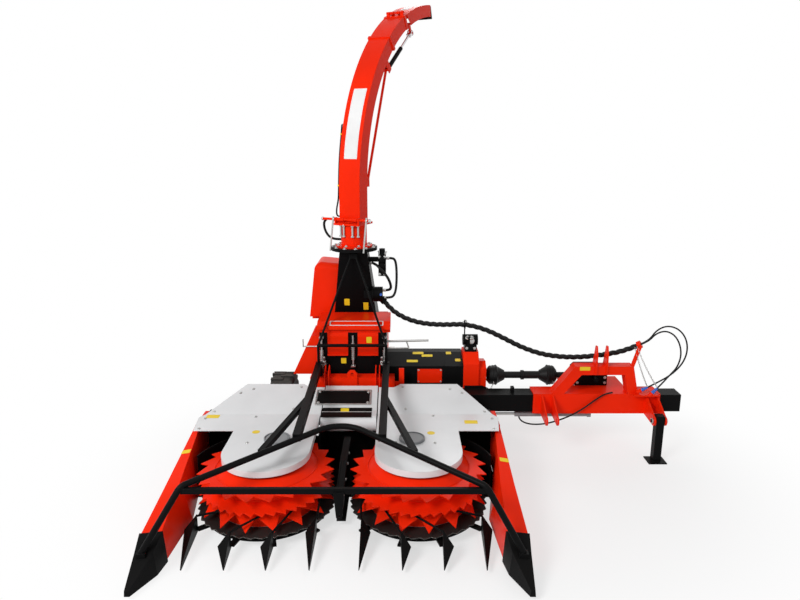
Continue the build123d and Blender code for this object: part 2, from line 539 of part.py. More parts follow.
def make_chopper():
    """Volute round the chopping rotor, open to the feed and into the chute."""
    def volute(radius, inset):
        ring = rod((-BODY_HALF + inset, ROTOR_Y, ROTOR_Z), (BODY_HALF - inset, ROTOR_Y, ROTOR_Z), radius)
        neck = block((-BODY_HALF + inset, BODY_HALF - inset), (CHUTE_FOOT[0] + inset, CHUTE_FOOT[1] - inset),
                     (ROTOR_Z, CHUTE_BOTTOM_Z))
        return ring + neck
    front = block((-BODY_HALF, BODY_HALF), (HOUSING_BACK, ROTOR_Y), (ROTOR_Z - 250, ROTOR_Z + 150))
    shell = (volute(VOLUTE_R, 0) + front) - volute(VOLUTE_R - 10, 10)
    window = block((-THROAT_HALF, THROAT_HALF), (HOUSING_BACK - 1, ROTOR_Y), (ROTOR_Z - 220, MOUTH_TOP))
    shaft_hole = rod((-BODY_HALF - 1, ROTOR_Y, ROTOR_Z), (BODY_HALF + 1, ROTOR_Y, ROTOR_Z), ROTOR_SHAFT_R)
    shell = shell - window - shaft_hole
    shell = shell - block((-BODY_HALF + 10, BODY_HALF - 10), (CHUTE_FOOT[0] + 10, CHUTE_FOOT[1] - 10),
                          (CHUTE_BOTTOM_Z - 20, CHUTE_BOTTOM_Z + 1))
    lid = block((-BODY_HALF, BODY_HALF), CHUTE_FOOT, (CHUTE_BOTTOM_Z, CHUTE_BOTTOM_Z + 10))
    lid = lid - block((-CHUTE_FOOT_HALF + 8, CHUTE_FOOT_HALF - 8), (CHUTE_FOOT[0] + 8, CHUTE_FOOT[1] - 8), (0, 1200))
    nodes["chopper_housing"] = shell + lid
    rotor = rod((-BODY_HALF + 25, ROTOR_Y, ROTOR_Z), (BODY_HALF - 25, ROTOR_Y, ROTOR_Z), ROTOR_R)
    shaft = rod((-BODY_HALF - 40, ROTOR_Y, ROTOR_Z), (BODY_HALF + 60, ROTOR_Y, ROTOR_Z), ROTOR_SHAFT_R - SEAT)
    nodes["crop_rotors"] = group(nodes["crop_rotors"], rotor + shaft)

    ring = disc(RING_R, CHUTE_TOP_Z, CHUTE_TOP_Z + 26, y=SWIVEL_Y)
    nodes["chute_tower"] = ((chute_solid(0) + ring) - chute_solid(6)
                            - disc(COLLAR_R - 12, CHUTE_TOP_Z, CHUTE_TOP_Z + 30, y=SWIVEL_Y))

    # rounded belt guard on the left of the chute
    x = (-390, -118)
    y, z = (1440, 1796), (CHUTE_BOTTOM_Z + 60, 1430)
    lean = 58                   # its outer side leans in towards the top
    guard = plate_xz([(x[0], z[0]), (x[0] + lean, z[1]), (x[1], z[1] - 20), (x[1], z[0])], *y)
    guard = fillet(guard.faces().sort_by(Axis.Z)[-1].edges().sort_by(Axis.X)[:3], 60)
    inside = plate_xz([(x[0] + 6, z[0] - 1), (x[0] + lean, z[1] - 80), (x[1] + 1, z[1] - 80), (x[1] + 1, z[0] - 1)],
                      y[0] + 5, y[1] - 5)
    guard = guard - inside
    arm = block((x[0] + 5, x[1]), (1560, 1600), (CHUTE_BOTTOM_Z + 10, z[0] + 30))
    nodes["belt_guard"] = (guard + arm) - chute_solid(0)

    # sloped guard over the feed drive, on the left of the feed housing
    nodes["feed_drive_guard"] = plate_xz(
        [(-BODY_HALF, 560), (-BODY_HALF, 885), (-BODY_HALF - 70, 885), (-BODY_HALF - 225, 560)],
        HOUSING_FRONT + 20, HOUSING_BACK)

    # motor and valve that turn the spout, on the right of the ring
    body = rod((150, SWIVEL_Y - 60, 1180), (235, SWIVEL_Y - 60, 1180), 62)
    valve = block((200, 262), (SWIVEL_Y - 50, SWIVEL_Y + 10), (1330, CHUTE_TOP_Z - 40))
    cap = disc(24, CHUTE_TOP_Z - 40, CHUTE_TOP_Z + 10, x=231, y=SWIVEL_Y - 20)
    bracket = block((80, 235), (SWIVEL_Y - 20, SWIVEL_Y - 5), (CHUTE_TOP_Z - 100, CHUTE_TOP_Z - 60))
    mount = block((80, 170), (SWIVEL_Y - 80, SWIVEL_Y - 40), (1150, 1210))
    start, along = Vector(*BUNDLE[0]), (Vector(*BUNDLE[1]) - Vector(*BUNDLE[0])).normalized()
    body = body + rod(start - along * 46, start, BUNDLE_R + 6)
    nodes["slew_motor"] = group((body + mount) - chute_solid(0), (valve + cap + bracket) - chute_solid(0))


def chute_solid(inset):
    """The chute's tapering shape, filled, with its walls drawn in by inset."""
    low = CHUTE_BOTTOM_Z + 10
    depth = CHUTE_FOOT[1] - CHUTE_FOOT[0]
    foot = Pos(0, sum(CHUTE_FOOT) / 2, low) * Rectangle(2 * (CHUTE_FOOT_HALF - inset), depth - 2 * inset)
    top_side = 2 * (CHUTE_TOP_HALF - inset)
    top = Pos(0, SWIVEL_Y, CHUTE_TOP_Z) * Rectangle(top_side, top_side)
    return loft([foot, top], ruled=True)


def make_wheel():
    left, right = WHEEL_X - TYRE_WIDTH / 2, WHEEL_X + TYRE_WIDTH / 2
    rim_r = 0.56 * WHEEL_R
    place = Pos(0, WHEEL_Y, WHEEL_R)
    # tyre with rounded shoulders, then lugs set round the tread
    profile = Polyline((left + 22, rim_r, 0), (left, WHEEL_R - 55, 0), (left + 14, WHEEL_R - 22, 0),
                       (left + 34, WHEEL_R - 10, 0), (right - 34, WHEEL_R - 10, 0), (right - 14, WHEEL_R - 22, 0),
                       (right, WHEEL_R - 55, 0), (right - 22, rim_r, 0), close=True)
    tyre = place * revolve(make_face(profile), Axis.X)
    lug = block((left + 10, WHEEL_X + 12), (-13, 13), (WHEEL_R - 24, WHEEL_R))
    lug_other = block((WHEEL_X - 12, right - 10), (-13, 13), (WHEEL_R - 24, WHEEL_R))
    count = 18
    for index in range(count):
        turn = 360 * index / count
        tyre = tyre + place * Rot(turn, 0, 0) * lug
        tyre = tyre + place * Rot(turn + 180 / count, 0, 0) * lug_other
    nodes["tyre"] = tyre
    y, z = WHEEL_Y, WHEEL_R
    rim = pipe((left + 26, y, z), (right - 26, y, z), rim_r, rim_r - 6)
    rim = rim + pipe((WHEEL_X - 4, y, z), (WHEEL_X + 4, y, z), rim_r - 3, AXLE_R + RUN_FIT)
    rim = rim + pipe((WHEEL_X - 50, y, z), (WHEEL_X + 50, y, z), AXLE_R + 18, AXLE_R + RUN_FIT)
    nodes["wheel_rim"] = rim
    stop = right + 20
    axle = rod((WHEEL_X - 50 - SEAT, y, z), (stop, y, z), AXLE_R)
    axle = axle + rod((WHEEL_X - 62, y, z), (WHEEL_X - 50 - SEAT, y, z), AXLE_R + 14)
    axle = axle + rod((WHEEL_X + 50 + SEAT, y, z), (stop, y, z), AXLE_R + 14)
    nodes["wheel_axle"] = axle + block((stop, -BODY_HALF), (y - 45, y + 45), (z - 45, z + 45))


# ---------------------------------------------------------------- drive line
def make_drive_line():
    y = (1052, 1330)
    left, right = GEARCASE
    top = 750
    case = plate_yz([(y[0], 320), (y[1], 320), (y[1], top - 85), (y[1] - 80, top), (y[0] + 70, top), (y[0], top - 85)],
                    left, right)
    flange = plate_yz([(y[0] + 20, 420), (PTO_Y + 100, 420), (PTO_Y + 100, 640), (y[0] + 90, 665), (y[0] + 20, 620)],
                      right, FLANGE_X)
    nodes["side_gearcase"] = case + flange

    x = (BODY_HALF, left)
    cover = plate_yz([(y[0], 470), (y[1], 470), (y[1], 710), (y[0] + 190, 710), (y[0], 650)], *x)
    inside = plate_yz([(y[0] + 6, 469), (y[1] - 6, 469), (y[1] - 6, 704), (y[0] + 192, 704), (y[0] + 6, 646)],
                      x[0] + 6, x[1] - 6)
    panel = block((515, 720), (y[0] - 4, y[0]), (508, 632))
    nodes["driveline_cover"] = (cover - inside) + panel

    # shift unit on top of the gear case, with the hook that carries the hoses
    unit = block((905, 1000), (1120, 1240), (top, top + 60))
    unit = unit + rod((890, 1180, top + 86), (1012, 1180, top + 86), 44)
    unit = unit + rod((930, 1130, top + 60), (930, 1130, top + 128), 16)
    hook = rod((HOOK[0], HOOK[1], top + 124), (HOOK[0], HOOK[1], HOOK[2] - HOOK_R), 5)
    loop = Pos(*HOOK) * Rot(0, 90, 0) * Torus(HOOK_R, 5)
    nodes["shift_unit"] = unit + hook + loop

    # hand levers: a wire handle on the left, two rods on the right
    nodes["hand_levers"] = group(
        rod((BODY_HALF + SEAT, 1150, 830), (610, 1150, 838), 9) + rod((430, 1150, 834), (450, 1150, 774), 6)
        + rod((450, 1150, 774), (BODY_HALF + SEAT, 1150, 770), 6),
        rod((-BODY_HALF, 1108, 800), (-405, 1108, 800), 5) + rod((-405, 1108, 795), (-405, 1108, 860), 5))


def make_main_tube():
    y = (TUBE_FRONT, TUBE_FRONT + TUBE)
    z = (TUBE_BOTTOM, TUBE_BOTTOM + TUBE)
    start = BODY_HALF + 16
    tube = block((start, TUBE_END), y, z)
    hollow = block((start - 1, TUBE_END - 6), (y[0] + TUBE_WALL, y[1] - TUBE_WALL),
                   (z[0] + TUBE_WALL, z[1] - TUBE_WALL))
    flange = block((BODY_HALF, BODY_HALF + 16), (y[0] - 20, HOUSING_BACK), (z[0] - 40, z[1]))
    peg_x = SLEEVE_LEFT - SLIDE - 10
    stop = block((peg_x - 28, peg_x - 2), (y[0] + 50, y[0] + 90), (z[1], z[1] + 42))
    # saddle that ties the gear case to the tube, and carries the shift cylinder's rod
    left, right = GEARCASE
    saddle = block((left + 10, right - 6), (y[1], 1052), (z[0] - 5, z[1] + 20))
    saddle = saddle + plate_xz([(right - 6, z[0] - 5), (FLANGE_X + 14, z[0] - 5), (FLANGE_X + 14, z[1]),
                                (right + 30, z[1] + 20), (right - 6, z[1] + 20)], y[1], y[1] + 12)
    lug = block((CYL_LEFT - 30, CYL_LEFT), (CYL_Y - 12, CYL_Y + 12), (CYL_Z - 24, z[0]))
    nodes["main_tube"] = (tube - hollow) + flange + stop + saddle + lug
    nodes["shift_rod"] = rod((CYL_LEFT, CYL_Y, CYL_Z), (CYL_START + 190, CYL_Y, CYL_Z), CYL_ROD_R)


# ---------------------------------------------------------------- headstock
def make_headstock():
    gap = SEAT
    y = (TUBE_FRONT - gap, TUBE_FRONT + TUBE + gap)
    z = (TUBE_BOTTOM - gap, TUBE_BOTTOM + TUBE + gap)
    wall = SLEEVE_WALL
    outer_y = (y[0] - wall, y[1] + wall)
    outer_z = (z[0] - wall, z[1] + wall)
    sleeve = block((SLEEVE_LEFT, SLEEVE_RIGHT), outer_y, outer_z)
    nodes["sleeve"] = sleeve - block((SLEEVE_LEFT - 1, SLEEVE_RIGHT + 1), y, z)

    # lower link lugs in pairs, each a rounded plate reaching forward to its pin
    front, top, bottom = outer_y[0], outer_z[1], outer_z[0]
    half = LOWER_SPAN / 2
    plates = []
    for side in (-1, 1):
        centre = MAST_X + side * half
        for x in (centre - LOWER_GAP / 2 - LUG, centre + LOWER_GAP / 2):
            plate = plate_yz([(front, top - 4), (front, bottom), (LOWER_PIN_Y + 20, LOWER_PIN_Z - 36),
                              (LOWER_PIN_Y, LOWER_PIN_Z), (LOWER_PIN_Y - 26, LOWER_PIN_Z + 26)], x, x + LUG)
            plate = plate + rod((x, LOWER_PIN_Y, LOWER_PIN_Z), (x + LUG, LOWER_PIN_Y, LOWER_PIN_Z), 38)
            bore = rod((x - 1, LOWER_PIN_Y, LOWER_PIN_Z), (x + LUG + 1, LOWER_PIN_Y, LOWER_PIN_Z), LOWER_PIN_R)
            plates.append(plate - bore)
    nodes["lower_link_lugs"] = group(*plates)

    # A-shaped mast on top of the sleeve
    base = top
    outer = [(1570, base), (1748, 705), (2202, 705), (2252, base)]
    inner = [(1668, base - 1), (1800, 635), (2138, 635), (2172, base - 1)]
    mast = plate_xz(outer, front, front + 96) - plate_xz(inner, front - 1, front + 97)
    lugs = []
    for x in (MAST_X - TOP_GAP / 2 - LUG, MAST_X + TOP_GAP / 2):
        lug = plate_yz([(front - 14, 640), (front, 640), (front, 705), (front + 90, 705),
                        (TOP_PIN_Y + 34, TOP_PIN_Z - 10), (TOP_PIN_Y + 14, TOP_PIN_Z + 60),
                        (TOP_PIN_Y - 14, TOP_PIN_Z + 60), (TOP_PIN_Y - 36, TOP_PIN_Z), (front - 14, 705)], x, x + LUG)
        bore = rod((x - 1, TOP_PIN_Y, TOP_PIN_Z), (x + LUG + 1, TOP_PIN_Y, TOP_PIN_Z), TOP_PIN_R)
        lugs.append(lug - bore)
    nodes["top_link_lugs"] = group(*lugs)

    # tray behind the mast carrying the input gear box
    tray = block((1700, 2200), (front + 96, PTO_Y + 110), (base - 10, base))
    tray = tray + block((1700, 2200), (outer_y[1], outer_y[1] + 8), (base - 60, base - 10))
    tray = tray - block((0, CUT), (0, outer_y[1]), (0, base))
    box = block((1805, 2062), (PTO_Y - 105, PTO_Y + 90), (base, PTO_Z + 84))
    box = chamfer(box.edges().filter_by(Axis.Y).group_by(Axis.Z)[-1], 26)
    box = box + rod((1790, PTO_Y, PTO_Z + 20), (1805, PTO_Y, PTO_Z + 20), 58)
    box = box + rod((MAST_X, PTO_Y - 105, PTO_Z + 22), (MAST_X, PTO_Y - 190, PTO_Z + 22), PTO_STUB_R)
    nodes["input_gearbox"] = box + block((1812, 1890), (PTO_Y - 60, PTO_Y + 40), (PTO_Z + 84, PTO_Z + 96))

    # shift cylinder under the sleeve
    barrel = rod((CYL_START, CYL_Y, CYL_Z), (CYL_STOP, CYL_Y, CYL_Z), CYL_R)
    barrel = barrel - rod((CYL_START - 1, CYL_Y, CYL_Z), (CYL_STOP - 40, CYL_Y, CYL_Z), CYL_ROD_R + RUN_FIT)
    lug = block((CYL_STOP, CYL_STOP + 30), (CYL_Y - 16, CYL_Y + 16), (CYL_Z - 22, outer_z[0]))
    nodes["shift_cylinder"] = barrel + lug

    # bracket right of the mast with the hose clamp, and the rest with a socket for each parked coupler
    last, along = Vector(*BUNDLE[-1]), (Vector(*BUNDLE[-1]) - Vector(*BUNDLE[-2])).normalized()
    clamp = rod(last, last + along * CLAMP, CLAMP)
    holder = bar((2196, front + 27, 690), tuple(last + along * CLAMP / 2 + Vector(0, -24, 0)), 10, 30)
    rest = block((2200, 2400), (830, front + 60), (top, top + 12))
    for points in (HOSE_A, HOSE_B):
        tip, before = Vector(*points[-1]), Vector(*points[-2])
        along = (tip - before).normalized()
        socket = rod(tip + along * COUPLER, tip + along * (COUPLER + 40), 16)
        rest = rest + (socket & block((2000, 2600), (700, 1000), (top, 700)))
    nodes["mast_frame"] = mast + tray + holder + clamp + rest


def hose_start(offset):
    """Start of a free hose at the clamp's far face, offset sideways, and its next point."""
    last, along = Vector(*BUNDLE[-1]), (Vector(*BUNDLE[-1]) - Vector(*BUNDLE[-2])).normalized()
    side = Vector(0, 0, 1).cross(along).normalized() * offset
    start = last + along * CLAMP + side
    return [tuple(start), tuple(start + along * 62)]


COUPLER = 54                # length of a coupler
HOSE_A = hose_start(11) + [(2352, 893, 1000), (2430, 884, 1040), (2520, 880, 1012), (2582, 876, 935),
                           (2600, 872, 835), (2568, 866, 735), (2490, 858, 652), (2392, 856, 590),
                           (2312, 860, 545)]
HOSE_B = hose_start(-11) + [(2345, 882, 975), (2415, 872, 1002), (2486, 864, 968), (2532, 858, 890),
                            (2545, 852, 800), (2520, 846, 712), (2462, 842, 645), (2410, 842, 578), (2380, 842, 544)]


def cord(points, radius, name):
    """A hose: straight runs joined by arcs as large as their runs allow."""
    path_points = [Vector(*point) for point in points]
    runs = [after - before for before, after in zip(path_points, path_points[1:])]
    radii = []
    for before, after in zip(runs, runs[1:]):
        turn = math.radians(before.get_angle(after))
        radii.append(0.45 * min(before.length, after.length) / math.tan(turn / 2))
    path = FilletPolyline(*points, radius=radii)
    section = Plane(path @ 0, z_dir=path % 0) * Circle(radius)
    tube = sweep(section, path=path)
    print(name, "length", round(path.length), "least radius", round(min(radii)), "in diameters",
          round(min(radii) / (2 * radius), 1), "volume by section", round(tube.volume / (math.pi * radius ** 2 * path.length), 4))
    return tube


def make_hoses():
    nodes["hose_bundle"] = cord(BUNDLE, BUNDLE_R, "hose bundle")
    for name, points in (("a", HOSE_A), ("b", HOSE_B)):
        nodes[f"tractor_hose_{name}"] = cord(points, HOSE_R, f"tractor hose {name}")
    couplers = []
    for points in (HOSE_A, HOSE_B):
        tip, before = Vector(*points[-1]), Vector(*points[-2])
        along = (tip - before).normalized()
        couplers.append(rod(tip, tip + along * 34, 13) + rod(tip + along * 34, tip + along * COUPLER, 10))
    nodes["couplers"] = group(*couplers)


def make_stand():
    x = MAST_X + LOWER_SPAN / 2
    y, z = LOWER_PIN_Y, LOWER_PIN_Z
    half = LEG / 2
    leg = block((x - half, x + half), (y - half, y + half), (FOOT_PLATE, z + 46))
    leg = leg - block((x - half + 5, x + half - 5), (y - half + 5, y + half - 5), (FOOT_PLATE, z - 40))
    leg = leg + block((x - 70, x + 70), (y - 60, y + 60), (0, FOOT_PLATE))
    reach = LOWER_GAP / 2 + LUG + 14
    pin = rod((x - reach, y, z), (x + reach, y, z), LOWER_PIN_R - RUN_FIT)
    nodes["stand_leg"] = leg + pin


# ---------------------------------------------------------------- pto shaft guard
def guard_cone(start, end):
    """Bell-shaped guard over a universal joint, wide towards its shaft end."""
    length = abs(end - start)
    sign = 1 if end > start else -1
    outline = [(0, 0), (0, 46), (0.15, 74), (0.55, 82), (0.62, 70), (1.0, 40), (1.0, 0)]
    face = make_face(Polyline(*[(start + sign * share * length, radius, 0) for share, radius in outline], close=True))
    return Pos(0, PTO_Y, PTO_Z) * revolve(face, Axis.X)


def make_pto_guard():
    low, high = PTO_JOINT_LEFT
    bell, bottom = high, PTO_JOINT_RIGHT[1] - 20        # where the outer tube may start, and its blind end
    inner = guard_cone(low, high) + rod((high, PTO_Y, PTO_Z), (bottom - SLIDE - 6, PTO_Y, PTO_Z), PTO_TUBE_R - 4)
    inner = inner + rod((FLANGE_X, PTO_Y, PTO_Z), (low, PTO_Y, PTO_Z), 26)
    nodes["pto_guard_left"] = inner
    low, high = PTO_JOINT_RIGHT
    start = bell + SLIDE + 6
    outer = guard_cone(high, low) + rod((start, PTO_Y, PTO_Z), (low, PTO_Y, PTO_Z), PTO_TUBE_R)
    outer = outer - rod((start - 1, PTO_Y, PTO_Z), (bottom, PTO_Y, PTO_Z), PTO_TUBE_R - 4 + SEAT)
    outer = outer + rod((high, PTO_Y, PTO_Z), (1790, PTO_Y, PTO_Z), 24)
    nodes["pto_guard_right"] = outer


# ---------------------------------------------------------------- spout
SPOUT_PLACE = Pos(0, SWIVEL_Y, 0) * Rot(0, 0, -SPOUT_TURN)


def on_bend(radius, degrees):
    """A point of the spout's own plane, on an arc round the bend's centre."""
    turn = math.radians(degrees)
    return (SPOUT_R - radius * math.cos(turn), SPOUT_BEND_Z + radius * math.sin(turn))


def duct_depth(degrees):
    return SPOUT_FOOT_DEPTH + (SPOUT_TIP_DEPTH - SPOUT_FOOT_DEPTH) * degrees / 90


def bend_strip(start, end, inset, half_width, under=None):
    """A length of the curved duct from its side outline, both curves as arcs."""
    def edge(side, depth):
        points = []
        for degrees in (start, (start + end) / 2, end):
            radius = SPOUT_R + side * (duct_depth(degrees) / 2 - depth)
            points.append(on_bend(radius, degrees))
        return points
    outer, inner = edge(1, inset), edge(-1, inset if under is None else under)
    outer, inner = [(0, *point) for point in outer], [(0, *point) for point in inner]
    outline = [ThreePointArc(*outer), Line(outer[2], inner[2]),
               ThreePointArc(*reversed(inner)), Line(inner[0], outer[0])]
    face = make_face(outline)
    return Pos(-half_width, 0, 0) * extrude(face, 2 * half_width, dir=(1, 0, 0))


FLAP_HINGE = on_bend(SPOUT_R + duct_depth(DUCT_END) / 2 + FLAP_PIN_RISE, DUCT_END)
ROD_FOOT = (SPOUT_FOOT_DEPTH / 2 + 62, SPOUT_BEND_Z + 80)
ROD_HEAD = on_bend(SPOUT_R - HEAD_DROP, HEAD_AT)
CYL_EYE = on_bend(SPOUT_R - EYE_DROP, EYE_AT)


def make_spout():
    half = SPOUT_WIDTH / 2
    depth = SPOUT_FOOT_DEPTH / 2
    # the collar that turns on the fixed ring
    def turn(shape):
        return SPOUT_PLACE * shape
    aside = Pos(LINK_X, 0, 0)
    base = CHUTE_TOP_Z + 26 + SEAT
    collar = disc(COLLAR_R + 44, base, base + 14) + disc(COLLAR_R, base, SPOUT_FOOT_Z - 26)
    collar = collar + block((-FOLD_EAR - 3, FOLD_EAR + 3), (FOLD_Y - 20, 112), (SPOUT_FOOT_Z - 26, SPOUT_FOOT_Z - 10))
    collar = collar - disc(COLLAR_R - 8, 0, CUT)
    ear = block((FOLD_EAR - 12, FOLD_EAR), (FOLD_Y - 14, FOLD_Y + 14), (SPOUT_FOOT_Z - 10, FOLD_Z + 16))
    pin = rod((-2 * FOLD_EAR, FOLD_Y, FOLD_Z), (FOLD_EAR + 84, FOLD_Y, FOLD_Z), FOLD_PIN_R)
    nodes["spout_collar"] = turn(collar + ear + mirrored(ear) + pin)

    foot = block((-half, half), (-depth, depth), (SPOUT_FOOT_Z - 10 + SEAT, SPOUT_BEND_Z))
    foot = foot - block((-half + SPOUT_WALL, half - SPOUT_WALL), (-depth + SPOUT_WALL, depth - SPOUT_WALL), (0, CUT))
    flange = block((-half - 20, half + 20), (-depth - 20, depth + 20), (SPOUT_FOOT_Z - 10 + SEAT, SPOUT_FOOT_Z + 4))
    flange = flange - block((-half, half), (-depth, depth), (0, CUT))
    lower = bend_strip(0, DUCT_JOINT, 0, half) - bend_strip(-1, DUCT_JOINT + 1, SPOUT_WALL, half - SPOUT_WALL)
    joint = DUCT_JOINT + math.degrees(SEAT / SPOUT_R)
    upper = bend_strip(joint, DUCT_END, 0, half) - bend_strip(joint - 1, DUCT_END + 1, SPOUT_WALL, half - SPOUT_WALL)
    rim = bend_strip(48, 49, -10, half + 10) - bend_strip(47, 50, 0, half)
    rim_end = bend_strip(DUCT_END - 1.4, DUCT_END - 0.2, -5, half + 5) - bend_strip(DUCT_END - 2, DUCT_END, 0, half)
    low, high = FOLD_EAR - 82, FOLD_EAR - 20
    leaf = block((low, high), (FOLD_Y, -depth), (FOLD_Z - 8, FOLD_Z + 8))
    leaf = leaf + rod((low, FOLD_Y, FOLD_Z), (high, FOLD_Y, FOLD_Z), 14)
    leaf = leaf - rod((0, FOLD_Y, FOLD_Z), (FOLD_EAR, FOLD_Y, FOLD_Z), FOLD_PIN_R + RUN_FIT)
    leaf = leaf + mirrored(leaf)

    # latch levers on the ends of the fold pin
    levers = []
    for low, tip_x in ((FOLD_EAR + 58, 160), (-FOLD_EAR - 20, -146)):
        hub = rod((low, FOLD_Y, FOLD_Z), (low + 16, FOLD_Y, FOLD_Z), 16)
        arm = rod((low + 8, FOLD_Y - 8, FOLD_Z + 24), (tip_x, FOLD_Y - 32, CHUTE_TOP_Z), 7)
        levers.append((hub + arm) - rod((low - 4, FOLD_Y, FOLD_Z), (low + 20, FOLD_Y, FOLD_Z), FOLD_PIN_R))
    nodes["latch_levers"] = turn(group(*levers))

    # end flap: a channel open underneath, hinged over the duct's outer edge
    start, end = DUCT_END + 0.3, FLAP_END
    shell = bend_strip(start, end, 0, half + 6) - bend_strip(start - 1, end + 1, SPOUT_WALL, half + 2, under=-20)
    under = SPOUT_R - duct_depth(EYE_AT) / 2 + 2
    strap = plate_yz([on_bend(under, EYE_AT - 0.7), on_bend(under, EYE_AT + 0.8),
                      on_bend(under + 8, EYE_AT + 0.8), on_bend(under + 8, EYE_AT - 0.7)], -half - 4, half + 4)
    top = SPOUT_R + duct_depth(DUCT_END) / 2
    # its start is cut back underneath, so that it can tilt down
    back = top - 150
    lean = math.degrees(150 * math.tan(math.radians(FLAP_DROP + 8)) / back)
    cut_at = start + 0.05
    clear = plate_yz([on_bend(top + 60, DUCT_END - 3), on_bend(top + 60, cut_at), on_bend(top, cut_at),
                      on_bend(back, cut_at + lean), on_bend(back - 80, DUCT_END - 3)], -half - 20, half + 20)
    hinge_y, hinge_z = FLAP_HINGE
    hole = rod((-half - 30, hinge_y, hinge_z), (half + 30, hinge_y, hinge_z), FLAP_PIN_R + RUN_FIT)
    flap, duct_hinge = (shell + strap) - clear, rod((-84, hinge_y, hinge_z), (84, hinge_y, hinge_z), FLAP_PIN_R)
    for x in (-46, 16):
        flap = flap + rod((x, hinge_y, hinge_z), (x + 30, hinge_y, hinge_z), 12)
        flap = flap + bar((x + 15, hinge_y, hinge_z), (x + 15, *on_bend(top - 2, DUCT_END + 0.9)), 30, 10)
    for x in (-80, 50):
        duct_hinge = duct_hinge + rod((x, hinge_y, hinge_z), (x + 30, hinge_y, hinge_z), 12)
        duct_hinge = duct_hinge + bar((x + 15, hinge_y, hinge_z), (x + 15, *on_bend(top - 2, DUCT_END - 0.7)), 30, 10)
    tab = bar((0, *on_bend(under + 4, EYE_AT)), (0, *on_bend(SPOUT_R - EYE_DROP - 10, EYE_AT)), 12, 34)
    flap = flap + aside * (tab + rod((-24, *CYL_EYE), (24, *CYL_EYE), FLAP_PIN_R))
    nodes["end_flap"] = turn(flap - hole)
    lip = on_bend(SPOUT_R + duct_depth(FLAP_END) / 2, FLAP_END + 0.02)
    outline = [lip, (lip[0] + 26, lip[1] - 6), (lip[0] + 60, lip[1] - 110),
               (lip[0] + 52, lip[1] - 112), (lip[0] + 18, lip[1] - 14), (lip[0], lip[1] - 8)]
    nodes["tip_deflector"] = turn(plate_yz(outline, -half, half))
    nodes["spout_duct"] = turn(foot + flange + lower + leaf)
    nodes["spout_upper_duct"] = turn(upper + rim + rim_end + duct_hinge)

    # fixed linkage rod behind the duct, with a clevis at its head for the flap cylinder
    stop = (0, *on_bend(SPOUT_R - HEAD_DROP + 16, HEAD_AT - 1))
    strut = rod((0, *ROD_FOOT), stop, LINK_ROD_R)
    foot_tab = block((-8, 8), (depth, ROD_FOOT[0] + 12), (ROD_FOOT[1] - 60, ROD_FOOT[1] + 20))
    root = on_bend(SPOUT_R - duct_depth(HEAD_AT) / 2 + 2, HEAD_AT)
    ears = [bar((x, *root), (x, *on_bend(SPOUT_R - HEAD_DROP - 18, HEAD_AT)), 8, 52) for x in (-20, 20)]
    bridge = bar((0, *root), (0, *on_bend(SPOUT_R - HEAD_DROP + 44, HEAD_AT)), 48, 40)
    filled = bend_strip(0, DUCT_JOINT, 0, half, under=-SEAT) + bend_strip(DUCT_JOINT, DUCT_END, 0, half, under=-SEAT)
    filled = filled + block((-half, half), (-depth, depth), (SPOUT_FOOT_Z, SPOUT_BEND_Z))
    clevis = ears[0] + ears[1] + bridge + rod((-24, *ROD_HEAD), (24, *ROD_HEAD), FLAP_PIN_R)
    brace = bar((-20, *stop[1:]), (20, *stop[1:]), 16, 16)
    nodes["linkage_rod"] = turn(aside * (strut + foot_tab + clevis + brace) - filled)
    near, far = Vector(0, *ROD_HEAD), Vector(0, *CYL_EYE)
    along = (far - near).normalized()
    mouth = near + along * FLAP_BARREL
    barrel = rod(near + along * 12, near + along * 40, 12) + rod(near + along * 40, mouth, FLAP_BARREL_R)
    barrel = barrel - rod(near + along * 60, mouth + along, CYL_ROD_R + RUN_FIT)
    barrel = barrel + rod((-15, *ROD_HEAD), (15, *ROD_HEAD), 14)
    barrel = barrel - rod((-30, *ROD_HEAD), (30, *ROD_HEAD), FLAP_PIN_R + RUN_FIT)
    nodes["flap_cylinder"] = turn(aside * barrel)
    # the rod's fork stands on both sides of the flap's tab, round its pin with room to drift
    ring = FLAP_PIN_R + EYE_DRIFT + 1
    fork = rod(mouth - along * FLAP_ROD_IN, far - along * (ring + 26), CYL_ROD_R)
    cheek = bar(tuple(far - along * (ring + 34)), tuple(far - along * (ring + 24)), 40, 30)
    for low in (-20, 12):
        ear = rod((low, *CYL_EYE), (low + 8, *CYL_EYE), ring + 6) - rod((low - 1, *CYL_EYE), (low + 9, *CYL_EYE), ring)
        arm_start, arm_end = far - along * (ring + 30), far - along * (ring + 1)
        arm = bar((low + 4, arm_start.Y, arm_start.Z), (low + 4, arm_end.Y, arm_end.Z), 8, 24)
        fork = fork + ear + arm
    nodes["flap_cylinder_rod"] = turn(aside * (fork + cheek))


def main():
    make_drums()
    make_header_frame()
    make_covers()
    make_dividers()
    make_fingers()
    make_centre_guide()
    make_push_bar()
    make_coupling()
    make_feed_housing()
    make_chopper()
    make_wheel()
    make_drive_line()
    make_main_tube()
    make_headstock()
    make_stand()
    make_pto_guard()
    make_spout()
    make_hoses()


main()
CORDS = ("hose_bundle", "tractor_hose_a", "tractor_hose_b", "couplers")
own = [solid for name, shape in nodes.items() if name not in CORDS for solid in shape.solids()]
bounds = Compound(children=own).bounding_box()
SHIFT = (-(bounds.min.X + bounds.max.X) / 2, -(bounds.min.Y + bounds.max.Y) / 2, 0)
os.makedirs("parts", exist_ok=True)
for name, shape in nodes.items():
    export_step(Pos(*SHIFT) * shape, f"parts/{name}.step")
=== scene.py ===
import json
import math

import bmesh
import bpy
from mathutils import Matrix, Vector
from mathutils.kdtree import KDTree


